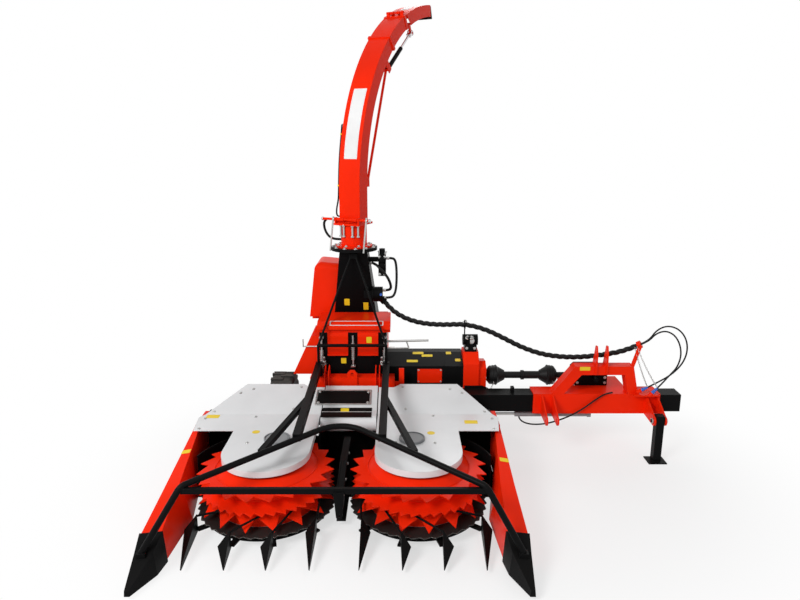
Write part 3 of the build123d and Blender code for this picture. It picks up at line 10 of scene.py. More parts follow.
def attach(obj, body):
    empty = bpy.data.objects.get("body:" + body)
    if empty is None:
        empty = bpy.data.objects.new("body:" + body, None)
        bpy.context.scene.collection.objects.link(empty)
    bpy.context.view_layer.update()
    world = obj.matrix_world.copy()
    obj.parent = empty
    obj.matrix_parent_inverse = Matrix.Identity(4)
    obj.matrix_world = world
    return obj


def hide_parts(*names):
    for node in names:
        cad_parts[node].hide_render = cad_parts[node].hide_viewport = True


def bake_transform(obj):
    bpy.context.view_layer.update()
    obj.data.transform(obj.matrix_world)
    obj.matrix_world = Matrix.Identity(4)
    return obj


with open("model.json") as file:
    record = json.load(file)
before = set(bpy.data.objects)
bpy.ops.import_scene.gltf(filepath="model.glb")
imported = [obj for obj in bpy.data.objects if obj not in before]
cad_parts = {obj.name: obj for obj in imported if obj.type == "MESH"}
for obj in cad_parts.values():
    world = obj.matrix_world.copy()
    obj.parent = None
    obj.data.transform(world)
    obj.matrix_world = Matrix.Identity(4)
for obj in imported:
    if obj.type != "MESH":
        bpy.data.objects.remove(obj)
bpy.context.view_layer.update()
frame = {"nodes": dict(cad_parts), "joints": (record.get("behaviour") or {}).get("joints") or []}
cad = frame["nodes"]
joint = {j["name"]: Vector(j["pos_m"]) for j in frame["joints"] if j["type"] == "hinge"}
middle = (joint["drum_left_spin"] + joint["drum_right_spin"]) / 2


def at(x, y, z):
    """A point in millimetres from the spot on the ground midway between the drums."""
    return Vector((middle.x + x / 1000, middle.y + y / 1000, z / 1000))


# ---- Studio: a pale floor that fades into a white surround, a broad lamp over the
# left shoulder, a softer one from the right and one behind that edges the spout.
scene = bpy.context.scene
scene.view_settings.view_transform = "Standard"


def seen_directly(tree):
    """1 for rays that show the surround: from the camera, off metal or through glass."""
    path = tree.nodes.new("ShaderNodeLightPath")
    total = path.outputs["Is Camera Ray"]
    for name in ("Is Glossy Ray", "Is Transmission Ray"):
        either = tree.nodes.new("ShaderNodeMath")
        either.operation = "MAXIMUM"
        tree.links.new(total, either.inputs[0])
        tree.links.new(path.outputs[name], either.inputs[1])
        total = either.outputs[0]
    return total


world = bpy.data.worlds.new("studio")
scene.world = world
world.use_nodes = True
tree = world.node_tree
tree.nodes.clear()
light, white = tree.nodes.new("ShaderNodeBackground"), tree.nodes.new("ShaderNodeBackground")
light.inputs["Color"].default_value = white.inputs["Color"].default_value = (1, 1, 1, 1)
light.inputs["Strength"].default_value = 0.42
white.inputs["Strength"].default_value = 1.0
mix = tree.nodes.new("ShaderNodeMixShader")
out = tree.nodes.new("ShaderNodeOutputWorld")
tree.links.new(seen_directly(tree), mix.inputs[0])
tree.links.new(light.outputs[0], mix.inputs[1])
tree.links.new(white.outputs[0], mix.inputs[2])
tree.links.new(mix.outputs[0], out.inputs["Surface"])

for name, place, aim, size, power in (
        ("key lamp", (-3600, -4600, 5200), (0, 300, 600), 2.6, 385),
        ("fill lamp", (5200, -3400, 3400), (700, 600, 700), 2.8, 25),
        ("back lamp", (1500, 6500, 5200), (0, 1400, 2400), 2.5, 70)):
    lamp = bpy.data.lights.new(name, "AREA")
    lamp.size = size
    lamp.energy = power
    holder = bpy.data.objects.new(name, lamp)
    holder.location = at(*place)
    holder.rotation_euler = (at(*aim) - at(*place)).to_track_quat("-Z", "Y").to_euler()
    scene.collection.objects.link(holder)

mesh = bpy.data.meshes.new("floor")
bm = bmesh.new()
bmesh.ops.create_grid(bm, x_segments=1, y_segments=1, size=60)
bm.to_mesh(mesh)
bm.free()
floor = bpy.data.objects.new("floor", mesh)
floor.location.z = -0.002
scene.collection.objects.link(floor)
pale = bpy.data.materials.new("pale floor")
pale.use_nodes = True
tree = pale.node_tree
shader = tree.nodes["Principled BSDF"]
shader.inputs["Base Color"].default_value = (0.9, 0.9, 0.9, 1)
shader.inputs["Roughness"].default_value = 0.95
shader.inputs["Specular IOR Level"].default_value = 0.0
# the floor's own shading stays near the machine and gives way to plain white round it
offset, stretch, reach = (tree.nodes.new("ShaderNodeVectorMath") for _ in range(3))
offset.operation, stretch.operation, reach.operation = "SUBTRACT", "MULTIPLY", "LENGTH"
offset.inputs[1].default_value = at(700, 500, 0)
stretch.inputs[1].default_value = (0.42, 0.5, 0)
fade = tree.nodes.new("ShaderNodeMapRange")
fade.interpolation_type = "SMOOTHSTEP"
for socket, value in (("From Min", 0.5), ("From Max", 1.25), ("To Min", 0.62), ("To Max", 1.0)):
    fade.inputs[socket].default_value = value
share = tree.nodes.new("ShaderNodeMath")
share.operation = "MULTIPLY"
glow = tree.nodes.new("ShaderNodeEmission")
mix = tree.nodes.new("ShaderNodeMixShader")
tree.links.new(tree.nodes.new("ShaderNodeTexCoord").outputs["Object"], offset.inputs[0])
tree.links.new(offset.outputs[0], stretch.inputs[0])
tree.links.new(stretch.outputs[0], reach.inputs[0])
tree.links.new(reach.outputs["Value"], fade.inputs["Value"])
tree.links.new(fade.outputs[0], share.inputs[0])
tree.links.new(seen_directly(tree), share.inputs[1])
tree.links.new(share.outputs[0], mix.inputs[0])
tree.links.new(shader.outputs[0], mix.inputs[1])
tree.links.new(glow.outputs[0], mix.inputs[2])
tree.links.new(mix.outputs[0], tree.nodes["Material Output"].inputs["Surface"])
mesh.materials.append(pale)

lens = bpy.data.cameras.new("camera")
lens.lens, lens.sensor_width = 29.25, 36
camera = bpy.data.objects.new("camera", lens)
camera.location = at(378, -3910, 2414)
camera.rotation_euler = (math.pi / 2 - 0.24, 0, 0)
scene.collection.objects.link(camera)
scene.camera = camera


# ---- Gathering drums: pressed steel drums with dished, toothed rings welded
# round them, sprayed red; the knife discs under them are bare, oiled steel.
def surface_group():
    """Tone drift, settled dust, worn edges and fine grain, shared by every paint and metal."""
    group = bpy.data.node_groups.new("worked surface", "ShaderNodeTree")
    face = group.interface
    for name, kind, value in (("Colour", "NodeSocketColor", (0.5, 0.5, 0.5, 1)),
                              ("Worn colour", "NodeSocketColor", (0.3, 0.3, 0.3, 1)),
                              ("Roughness", "NodeSocketFloat", 0.4), ("Wear", "NodeSocketFloat", 0.3),
                              ("Dust", "NodeSocketFloat", 0.2),
                              ("Grain", "NodeSocketFloat", 40.0)):
        socket = face.new_socket(name, in_out="INPUT", socket_type=kind)
        socket.default_value = value
    for name, kind in (("Colour", "NodeSocketColor"), ("Roughness", "NodeSocketFloat"),
                       ("Height", "NodeSocketFloat")):
        face.new_socket(name, in_out="OUTPUT", socket_type=kind)
    add, link = group.nodes.new, group.links.new
    given, result = add("NodeGroupInput"), add("NodeGroupOutput")
    place = add("ShaderNodeTexCoord").outputs["Object"]

    def noise(scale, detail):
        node = add("ShaderNodeTexNoise")
        node.inputs["Scale"].default_value = scale
        node.inputs["Detail"].default_value = detail
        link(place, node.inputs["Vector"])
        return node.outputs["Fac"]

    def work(kind, first, second):
        node = add("ShaderNodeMath")
        node.operation = kind
        for index, value in enumerate((first, second)):
            if isinstance(value, (int, float)):
                node.inputs[index].default_value = value
            else:
                link(value, node.inputs[index])
        return node.outputs[0]

    def spread(value, low, high, to_low, to_high):
        node = add("ShaderNodeMapRange")
        link(value, node.inputs["Value"])
        for name, number in (("From Min", low), ("From Max", high), ("To Min", to_low), ("To Max", to_high)):
            node.inputs[name].default_value = number
        return node.outputs[0]

    def blend(factor, first, second):
        node = add("ShaderNodeMix")
        node.data_type = "RGBA"
        link(factor, node.inputs["Factor"])
        for index, value in ((6, first), (7, second)):
            if isinstance(value, tuple):
                node.inputs[index].default_value = value
            else:
                link(value, node.inputs[index])
        return node.outputs[2]

    broad, fine = noise(2.2, 4), noise(70, 3)
    # an edge is where the rounded normal leaves the flat one
    edge, geometry, dot = add("ShaderNodeBevel"), add("ShaderNodeNewGeometry"), add("ShaderNodeVectorMath")
    edge.samples = 4
    edge.inputs["Radius"].default_value = 0.004
    dot.operation = "DOT_PRODUCT"
    link(edge.outputs[0], dot.inputs[0])
    link(geometry.outputs["Normal"], dot.inputs[1])
    near_edge = work("MULTIPLY", work("SUBTRACT", 1.0, dot.outputs["Value"]), 6.0)
    mask = work("MULTIPLY", spread(work("MULTIPLY", near_edge, work("MULTIPLY", fine, broad)), 0.12, 0.42, 0,
                                   1), given.outputs["Wear"])
    # dust lies on what faces up
    up = add("ShaderNodeSeparateXYZ")
    link(geometry.outputs["Normal"], up.inputs[0])
    dust = work("MULTIPLY", work("MULTIPLY", work("MAXIMUM", up.outputs["Z"], 0.0),
                                 work("MULTIPLY", broad, fine)), given.outputs["Dust"])
    shade = add("ShaderNodeVectorMath")
    shade.operation = "SCALE"
    link(given.outputs["Colour"], shade.inputs[0])
    link(spread(broad, 0.3, 0.7, 0.92, 1.06), shade.inputs["Scale"])
    colour = blend(mask, shade.outputs[0], given.outputs["Worn colour"])
    link(blend(dust, colour, (0.34, 0.29, 0.22, 1)), result.inputs["Colour"])
    rough = work("ADD", given.outputs["Roughness"], work("MULTIPLY", work("SUBTRACT", broad, 0.5), 0.16))
    link(work("ADD", rough, work("MULTIPLY", dust, 0.5)), result.inputs["Roughness"])
    grain = add("ShaderNodeTexNoise")
    link(place, grain.inputs["Vector"])
    link(given.outputs["Grain"], grain.inputs["Scale"])
    grain.inputs["Detail"].default_value = 2
    link(work("SUBTRACT", grain.outputs["Fac"], work("MULTIPLY", mask, 0.6)), result.inputs["Height"])
    return group


worked = surface_group()


def finish(name, colour, rough, worn=(0.2, 0.19, 0.18), wear=0.5, dust=0.25, grain=90.0, metallic=0.0,
           coat=0.0, gloss=0.5, bump=0.0006):
    """A finish over the shared worked surface."""
    material = bpy.data.materials.new(name)
    material.use_nodes = True
    tree = material.node_tree
    shader = tree.nodes["Principled BSDF"]
    shader.inputs["Metallic"].default_value = metallic
    shader.inputs["Specular IOR Level"].default_value = gloss
    shader.inputs["Coat Weight"].default_value = coat
    shader.inputs["Coat Roughness"].default_value = 0.12
    node = tree.nodes.new("ShaderNodeGroup")
    node.node_tree = worked
    for socket, value in (("Colour", (*colour, 1)), ("Worn colour", (*worn, 1)), ("Roughness", rough),
                          ("Wear", wear), ("Dust", dust), ("Grain", grain)):
        node.inputs[socket].default_value = value
    relief, soft = tree.nodes.new("ShaderNodeBump"), tree.nodes.new("ShaderNodeBevel")
    relief.inputs["Distance"].default_value = bump
    relief.inputs["Strength"].default_value = 0.5
    soft.samples = 4
    soft.inputs["Radius"].default_value = 0.0025
    tree.links.new(soft.outputs[0], relief.inputs["Normal"])
    tree.links.new(node.outputs["Colour"], shader.inputs["Base Color"])
    tree.links.new(node.outputs["Roughness"], shader.inputs["Roughness"])
    tree.links.new(node.outputs["Height"], relief.inputs["Height"])
    tree.links.new(relief.outputs[0], shader.inputs["Normal"])
    return material


def coat(names, material):
    """Gives CAD nodes a finish."""
    for name in names.split():
        cad[name].data.materials.clear()
        cad[name].data.materials.append(material)


def spun(profile, steps=24):
    """A turned shape from a (height, radius) profile, standing on its own Z axis."""
    mesh, bm = bpy.data.meshes.new("shape"), bmesh.new()
    verts = [bm.verts.new((radius, 0, height)) for height, radius in profile]
    edges = [bm.edges.new(pair) for pair in zip(verts, verts[1:])]
    bmesh.ops.spin(bm, geom=verts + edges, cent=(0, 0, 0), axis=(0, 0, 1), angle=math.tau, steps=steps,
                   use_merge=True)
    bmesh.ops.remove_doubles(bm, verts=bm.verts, dist=1e-6)
    bmesh.ops.recalc_face_normals(bm, faces=bm.faces)
    bm.to_mesh(mesh)
    bm.free()
    return mesh


def facing(point, axis=(0, 0, 1), turn=0.0):
    """Stands a shape on a point with its Z along an axis."""
    way = Vector(axis).to_track_quat("Z", "Y").to_matrix().to_4x4()
    return Matrix.Translation(point) @ way @ Matrix.Rotation(turn, 4, "Z")


def piece(name, body, material, placed):
    """Sets shapes in their places and joins them as one piece that rides on a body."""
    mesh, bm = bpy.data.meshes.new(name), bmesh.new()
    for shape, place in placed:
        first = len(bm.verts)
        bm.from_mesh(shape)
        bm.verts.ensure_lookup_table()
        bmesh.ops.transform(bm, matrix=place, verts=bm.verts[first:])
    bm.to_mesh(mesh)
    bm.free()
    mesh.shade_smooth()
    mesh.set_sharp_from_angle(angle=0.6)
    mesh.materials.append(material)
    thing = bpy.data.objects.new(name, mesh)
    scene.collection.objects.link(thing)
    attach(thing, body)
    return thing


red = finish("red enamel", (0.90, 0.022, 0.002), 0.32, worn=(0.42, 0.05, 0.02), wear=0.3, dust=0.012,
             coat=0.02, gloss=0.05)
coat("drum_left drum_right", red)
blade_steel = finish("knife steel", (0.03, 0.029, 0.028), 0.5, worn=(0.3, 0.28, 0.26), wear=0.9, dust=0.08,
                     metallic=0.5, gloss=0.3)
coat("knife_disc_left knife_disc_right", blade_steel)
DRUM_X = 500                    # each drum's axis, left or right of the middle
ring_tops = (339, 268, 200)     # where the toothed rings meet the drum's wall
# a fillet weld runs round the drum wall over each ring
for side, drum in ((-1, "drum_left"), (1, "drum_right")):
    beads = []
    for height in ring_tops:
        bead = spun([(0, 0.330), (0.0055, 0.3305), (0.004, 0.3345), (0, 0.3365), (-0.001, 0.333)], 96)
        beads.append((bead, facing(at(side * DRUM_X, 0, height))))
    piece(f"{drum}_welds", drum, red, beads)


# ---- Header frame: folded sheet floor with two skids, a square beam bolted up
# from behind, curved back walls, the divider shields and their cast tips.
def hex_bolt(across):
    """A hexagon head with its chamfered top, on a washer."""
    mesh, bm = bpy.data.meshes.new("bolt"), bmesh.new()
    base, high, corner = 0.14 * across, 0.62 * across, across / math.sqrt(3)
    bmesh.ops.create_cone(bm, cap_ends=True, segments=6, radius1=corner, radius2=corner, depth=high,
                          matrix=Matrix.Translation((0, 0, base + high / 2)))
    rim = [edge for edge in bm.edges if all(vert.co.z > base + 0.9 * high for vert in edge.verts)]
    bmesh.ops.bevel(bm, geom=rim, offset=0.09 * across, segments=1, affect="EDGES", profile=0.5, material=-1)
    bmesh.ops.create_cone(bm, cap_ends=True, segments=20, radius1=0.98 * across, radius2=0.94 * across,
                          depth=base, matrix=Matrix.Translation((0, 0, base / 2)))
    bm.to_mesh(mesh)
    bm.free()
    return mesh


small_bolt, bolt, big_bolt = hex_bolt(0.008), hex_bolt(0.012), hex_bolt(0.017)
black = finish("black enamel", (0.004, 0.004, 0.0042), 0.4, worn=(0.04, 0.04, 0.04), wear=0.3, dust=0.015,
               gloss=0.045)
steel = finish("zinc-plated steel", (0.50, 0.50, 0.49), 0.36, worn=(0.3, 0.28, 0.26), wear=0.4, dust=0.1,
               metallic=0.9)
coat("header_floor header_frame crop_channel fingers centre_guide divider_tips "
     "push_bar push_cross_bar push_stays upper_rods", black)
coat("dividers", red)
beam_y, beam_z = 690, 390       # the beam's rear face and its middle height
beam_bolts = [(big_bolt, facing(at(x, beam_y, beam_z), (0, 1, 0), x))
              for x in (-960, -760, -560, -380, 380, 560, 760, 960)]
guide_bolts = [(big_bolt, facing(at(side * 6, y, z), (side, 0, 0)))
               for side in (-1, 1) for y, z in ((-120, 190), (60, 200), (240, 220), (360, 240))]
piece("header_bolts", "machine", steel, beam_bolts + guide_bolts)


def sheet_plate(width, height, thick, corner):
    """A thin rounded plate standing on its back face."""
    mesh, bm = bpy.data.meshes.new("plate"), bmesh.new()
    bmesh.ops.create_grid(bm, x_segments=1, y_segments=1, size=0.5)
    bmesh.ops.scale(bm, vec=(width, height, 1), verts=bm.verts)
    bmesh.ops.bevel(bm, geom=bm.verts, offset=corner, segments=3, affect="VERTICES", profile=0.5, material=-1)
    top = bmesh.ops.extrude_face_region(bm, geom=bm.faces[:], use_keep_orig=True)
    bmesh.ops.translate(bm, vec=(0, 0, thick),
                        verts=[item for item in top["geom"] if isinstance(item, bmesh.types.BMVert)])
    bmesh.ops.recalc_face_normals(bm, faces=bm.faces)
    bm.to_mesh(mesh)
    bm.free()
    return mesh


def lying(point, out, across=(1, 0, 0), lift=0.3):
    """Lays a plate on a surface, lifted a little along the way out of it, its width across."""
    out = Vector(out).normalized()
    side = (Vector(across) - Vector(across).dot(out) * out).normalized()
    turn = Matrix((side, out.cross(side), out)).transposed().to_4x4()
    return Matrix.Translation(Vector(point) + out * lift / 1000) @ turn


yellow = finish("yellow vinyl", (0.86, 0.62, 0.02), 0.38, worn=(0.5, 0.35, 0.03), wear=0.2, dust=0.02,
                gloss=0.2)
labels = [(sheet_plate(0.062, 0.04, 0.0005, 0.006), lying(at(side * 1071, y, z), (side * 0.19, -0.18, 0.97)))
          for side, y, z in ((-1, 125, 368.4), (1, 38, 352.3))]
piece("divider_labels", "machine", yellow, labels)
# a black sheet closes the corner between each divider and its drum's back wall, under the beam: painted
# shade, a dark sheet that stands for the deep shade in that corner and hides the white surround behind it
corner = [(sheet_plate(0.406, 0.295, 0.002, 0.002), lying(at(side * 857, 600, 197.5), (0, -1, 0), lift=0))
          for side in (-1, 1)]
piece("corner_shade_sheets", "machine", black, corner)

# ---- Drum covers: white enamelled sheets, round over each drum and folded up at
# the back, bolted down, each with a grey, rimmed hub cap let into it.
white_enamel = finish("white enamel", (0.74, 0.75, 0.76), 0.36, worn=(0.4, 0.4, 0.4), wear=0.3, dust=0.08,
                      coat=0.15, gloss=0.4)
grey = finish("grey enamel", (0.27, 0.28, 0.29), 0.42, wear=0.3, dust=0.06, gloss=0.3)
coat("drum_covers", white_enamel)
coat("hub_caps", grey)
COVER_Z = 441                   # top of the covers' level part
slope = (0, -0.27, 0.963)
cover_bolts = [(bolt, facing(at(x, y, COVER_Z), (0, 0, 1), x)) for x, y in
               ((-682, 531), (-651, 107), (622, 549), (613, 107), (-1046, 500), (-1040, 330), (1050, 500),
                (1040, 330), (-350, 120), (350, 120))]
cover_bolts += [(bolt, facing(at(x, y, COVER_Z + (y - 580) / 3.6), slope, x)) for x, y in
                ((-1010, 610), (860, 828), (770, 877), (-860, 828), (-770, 877), (-400, 900), (400, 900),
                 (1010, 610), (-420, 640), (420, 640))]
cap_rim = spun([(0, 0.088), (0.004, 0.088), (0.005, 0.086), (0.005, 0.083), (0.004, 0.081), (0, 0.081)], 64)
piece("cover_bolts", "machine", steel, cover_bolts)
piece("hub_rims", "machine", grey,
      [(cap_rim, facing(at(side * 460, 165, 452))) for side in (-1, 1)])
wide = sheet_plate(0.095, 0.058, 0.0005, 0.005)
disc = spun([(0, 0), (0, 0.027), (0.0005, 0.027), (0.0005, 0)], 28)
labels = [(wide, lying(at(-1000, 540, COVER_Z), (0, 0, 1))), (wide, lying(at(891, 443, COVER_Z), (0, 0, 1))),
          (disc, lying(at(-627, 277, COVER_Z), (0, 0, 1))), (disc, lying(at(594, 261, COVER_Z), (0, 0, 1)))]
piece("cover_labels", "machine", yellow, labels)

# ---- Centre panel: a pale sheet between the covers with a raised frame that holds
# a blank black plate, and a small yellow label below it.
coat("centre_panel", white_enamel)
slant = (0, -0.287, 0.958)
plate_x, plate_y, plate_z = -55, 762, 499.5     # middle of the blank plate
piece("centre_plate", "machine", black,
      [(sheet_plate(0.400, 0.150, 0.004, 0.008), lying(at(plate_x, plate_y, plate_z), slant))])
edge = [(sheet_plate(0.424, 0.010, 0.006, 0.003),
         lying(at(plate_x, plate_y + side * 80, plate_z + side * 24), slant)) for side in (-1, 1)]
edge += [(sheet_plate(0.010, 0.172, 0.006, 0.003),
          lying(at(plate_x + side * 208, plate_y, plate_z), slant)) for side in (-1, 1)]
for side in (-1, 1):
    for end in (-1, 1):
        screw = at(plate_x + side * 188, plate_y + end * 62, plate_z + end * 18.5) + 0.004 * Vector(slant)
        edge.append((bolt, facing(screw, slant)))
piece("centre_frame", "machine", steel, edge)
lower = [(sheet_plate(0.372, 0.088, 0.002, 0.004), lying(at(-18, 545, 453), (0, 0, 1))),
         (sheet_plate(0.372, 0.050, 0.002, 0.004), lying(at(-18, 622, 456), slant))]
piece("centre_dark_panel", "machine", black, lower)
label = sheet_plate(0.062, 0.045, 0.0005, 0.005)
piece("centre_label", "machine", yellow,
      [(label, lying(at(-35, 618, 454.8), slant, lift=2.6))])

# ---- Feed housing: black sheet box behind the drums with a red hood, two red swing
# flaps, coil springs with threaded adjusters, and the coupling beam before it.
coat("feed_housing", black)
coat("feed_flaps feed_hood coupling_beam feed_drive_guard", red)
coat("crop_rotors feed_springs hand_levers", steel)
hood_way, strip_at = (0, -0.46, 0.888), at(30, 1098, 996.2)
piece("hood_strip", "machine", white_enamel,
      [(sheet_plate(0.430, 0.056, 0.0006, 0.008), lying(strip_at, hood_way, lift=0.5))])
piece("hood_strip_field", "machine", red,
      [(sheet_plate(0.414, 0.040, 0.0006, 0.005), lying(strip_at, hood_way, lift=1.1))])
house_y = 1100                  # the housing's front face
house_bolts = [(bolt, facing(at(x, house_y, z), (0, -1, 0), z)) for x in (-255, 255)
               for z in (140, 300, 460, 610, 760, 880)]
piece("housing_bolts", "machine", steel, house_bolts)
piece("housing_labels", "machine", yellow,
      [(sheet_plate(0.042, 0.052, 0.0005, 0.005), lying(at(129, 1086, 861), (0, -1, 0))),
       (sheet_plate(0.042, 0.046, 0.0005, 0.005), lying(at(-79, house_y, 681), (0, -1, 0)))])
adjuster = spun([(0, 0), (0, 0.007), (0.004, 0.0085), (0.004, 0.016), (0.016, 0.016), (0.016, 0.0085),
                 (0.030, 0.0085), (0.034, 0.014), (0.046, 0.014), (0.048, 0.0085), (0.092, 0.0085),
                 (0.095, 0.006), (0.095, 0)], 18)
piece("spring_adjusters", "machine", steel,
      [(adjuster, facing(at(x, 1090, z), (0.0, -0.5, 0.86))) for x, z in ((-232, 650), (232, 650))])

# ---- Chopper and chute: welded red housing and belt guard, and a black tapered tower
# that is bolted round its flange to the spout's turning ring.
coat("chopper_housing belt_guard", red)
coat("chute_tower slew_motor", black)
piece("tower_labels", "machine", yellow,
      [(sheet_plate(0.044, 0.062, 0.0005, 0.005), lying(at(-67, 1392, 1099), (0, -0.97, -0.23))),
       (sheet_plate(0.042, 0.070, 0.0005, 0.005), lying(at(91, 1400, 1062), (0, -0.97, -0.23)))])
SWIVEL_Y = 1400                 # the spout's turning axis
ring_r, ring_z = 171, 1571      # bolt circle of the tower's flange, and its top
ring_bolts = []
for n in range(12):
    turn = math.tau * n / 12 + 0.13
    spot = at(ring_r * math.cos(turn), SWIVEL_Y + ring_r * math.sin(turn), ring_z)
    ring_bolts.append((big_bolt, facing(spot, (0, 0, 1), n)))
piece("chute_bolts", "machine", steel, ring_bolts)

# ---- Slewing drive: a hydraulic motor beside the tower under a valve block, with
# plated unions, a blue sealing plug and two short pressure hoses.
union = spun([(0, 0), (0, 0.0135), (0.007, 0.0135), (0.008, 0.010), (0.011, 0.010), (0.012, 0.0145),
              (0.021, 0.0145), (0.022, 0.012), (0.028, 0.012), (0.028, 0)], 6)
unions = [(union, facing(at(262, 1380, 1475), (1, 0, 0))), (union, facing(at(125, 1360, 1440), (1, -0.3, 0)))]
unions += [(union, facing(at(235, 1340, z), (1, 0, 0))) for z in (1150, 1214)]
plug = spun([(0, 0), (0, 0.013), (0.012, 0.013), (0.014, 0.010), (0.024, 0.010), (0.026, 0.012),
             (0.032, 0.012), (0.034, 0.008), (0.034, 0)], 20)
unions += [(plug, facing(at(x, 1380, 1505), way))
           for x, way in ((214, (-0.3, 0, 1)), (231, (0, -0.2, 1)), (250, (0.4, 0, 1)))]
coil = spun([(0, 0), (0, 0.021), (0.003, 0.023), (0.036, 0.023), (0.039, 0.020), (0.040, 0.010),
             (0.046, 0.009), (0.048, 0.007), (0.048, 0)], 28)
coils = [(coil, facing(at(231, 1350, z), (0, -1, 0))) for z in (1422, 1472)]
flange = spun([(0, 0), (0, 0.070), (0.010, 0.070), (0.012, 0.067), (0.012, 0)], 40)
piece("valve_coils", "machine", black,
      coils + [(flange, facing(at(150, 1340, 1180), (1, 0, 0)))])
unions += [(bolt, facing(at(x, 1350, z), (0, -1, 0))) for x in (210, 252) for z in (1345, 1490)]
piece("unions", "machine", steel, unions)
cap = spun([(0, 0), (0, 0.011), (0.014, 0.011), (0.016, 0.009), (0.016, 0)], 18)
blue = finish("blue plastic", (0.02, 0.11, 0.52), 0.32, worn=(0.1, 0.2, 0.5), wear=0.3, dust=0.05)
piece("sealing_plug", "machine", blue, [(cap, facing(at(222, 1279, 1192), (0, -1, 0)))])
piece("motor_label", "machine", yellow,
      [(sheet_plate(0.03, 0.036, 0.0005, 0.004), lying(at(235.4, 1340, 1205), (1, 0, 0), (0, 1, 0)))])
hose_rubber = finish("hose rubber", (0.006, 0.006, 0.0062), 0.5, worn=(0.04, 0.04, 0.04), wear=0.3, dust=0.03,
                     grain=300, gloss=0.15)


def hose(name, body, radius, points):
    """A rubber hose along its route's smooth line."""
    curve = bpy.data.curves.new(name, "CURVE")
    curve.dimensions = "3D"
    curve.bevel_depth = radius
    curve.bevel_resolution = 5
    curve.resolution_u = 10
    curve.use_fill_caps = True
    spline = curve.splines.new("NURBS")
    spline.points.add(len(points) - 1)
    for point, place in zip(spline.points, points):
        point.co = (*at(*place), 1)
    spline.order_u = 3
    spline.use_endpoint_u = True
    curve.materials.append(hose_rubber)
    thing = bpy.data.objects.new(name, curve)
    scene.collection.objects.link(thing)
    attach(thing, body)
    return thing


route = [(290, 1380, 1475), (312, 1380, 1475), (334, 1378, 1466), (345, 1374, 1430), (350, 1369, 1370),
         (350, 1362, 1285), (343, 1355, 1205), (324, 1346, 1160), (292, 1340, 1150), (263, 1340, 1150)]
hose("valve_hose_outer", "machine", 0.010, route)
route = [(152, 1352, 1440), (172, 1330, 1436), (196, 1306, 1424), (224, 1290, 1396), (256, 1288, 1362),
         (284, 1296, 1318), (300, 1310, 1272), (304, 1326, 1236), (290, 1338, 1216), (263, 1340, 1214)]
hose("valve_hose_inner", "machine", 0.011, route)

# ---- Driveline: a black sheet cover over the shafts with a cover strip, a red
# inspection panel, a control unit on the gear case, and its lifting hook.
coat("driveline_cover shift_unit", black)
coat("side_gearcase", red)
SHAFT_Y, SHAFT_Z = 1180, 530    # the drive shaft, which runs across the machine
roof = (0, -0.3, 0.954)
piece("inspection_panel", "machine", red,
      [(sheet_plate(0.198, 0.118, 0.002, 0.006), lying(at(617.5, 1048, 570), (0, -1, 0)))])
strip = [(sheet_plate(0.016, 0.190, 0.002, 0.002), lying(at(732, 1146, 679.5), roof)),
         (sheet_plate(0.016, 0.120, 0.002, 0.002), lying(at(732, 1052, 588), (0, -1, 0)))]
piece("cover_strip", "machine", black, strip)
low, small = sheet_plate(0.090, 0.032, 0.0005, 0.005), sheet_plate(0.044, 0.036, 0.0005, 0.005)
piece("driveline_labels", "machine", yellow,
      [(low, lying(at(528, 1225, 704.4), roof)), (low, lying(at(601, 1190, 693.5), roof)),
       (low, lying(at(478, 1119, 671.2), roof)),
       (small, lying(at(780, 1225, 704.4), roof)), (small, lying(at(850, 1132, 675.2), roof))])
cover_screws = [(small_bolt, facing(at(x, 1046, z), (0, -1, 0), x)) for x in (528, 707) for z in (521, 619)]
case_r, case_x = 62, 1078       # bolt circle of the gear case's cover, and its face
case_bolts = []
for n in range(8):
    turn = math.tau * n / 8
    spot = at(case_x, SHAFT_Y + case_r * math.cos(turn), SHAFT_Z + case_r * math.sin(turn))
    case_bolts.append((bolt, facing(spot, (1, 0, 0), n)))
piece("driveline_bolts", "machine", steel, cover_screws + case_bolts)
fitting = spun([(0, 0), (0, 0.016), (0.008, 0.016), (0.009, 0.012), (0.026, 0.012), (0.028, 0.018),
                (0.040, 0.018), (0.042, 0.012), (0.052, 0.010), (0.052, 0)], 24)
fittings = [(fitting, facing(at(x, 1150, 835), (0, -0.55, 0.83))) for x in (925, 958)]
fittings += [(bolt, facing(at(x, 1120, 780), (0, -1, 0), x)) for x in (920, 984)]
dial = spun([(0, 0), (0, 0.030), (0.006, 0.030), (0.010, 0.024), (0.010, 0)], 32)
piece("shift_fittings", "machine", steel,
      fittings + [(dial, facing(at(952, 1136, 836), (0, -1, 0)))])
eye = spun([(-0.0035, 0.016), (0, 0.0195), (0.0035, 0.016), (0, 0.0125), (-0.0035, 0.016)], 28)
piece("hook_ring", "machine", steel, [(eye, facing(at(905, 1180, 985), (0.2, -1, 0)))])

# ---- Wheel: a ribbed farm tyre on a red pressed rim, which five plated bolts clamp to
# its black axle, and a rubber valve.
rubber = finish("tyre rubber", (0.012, 0.012, 0.0125), 0.74, worn=(0.045, 0.042, 0.038), wear=0.7, dust=0.35,
                grain=160, bump=0.001)
coat("tyre", rubber)
coat("wheel_rim", red)
coat("wheel_axle", black)
bolt_ring = 0.094               # radius of the rim's bolt circle, in metres
wheel_bolts = []
for side in (-1, 1):
    for n in range(5):
        turn = math.tau * n / 5
        off = Vector((side * 0.004, bolt_ring * math.cos(turn), bolt_ring * math.sin(turn)))
        wheel_bolts.append((big_bolt, facing(joint["wheel_spin"] + off, (side, 0, 0), turn)))
piece("wheel_nuts", "wheel", steel, wheel_bolts)
stem = spun([(0, 0), (0, 0.008), (0.012, 0.007), (0.014, 0.004), (0.034, 0.004), (0.034, 0)], 16)
piece("tyre_valve", "wheel", rubber,
      [(stem, facing(joint["wheel_spin"] + Vector((-0.004, 0, 0.118)), (-0.85, 0, -0.5)))])

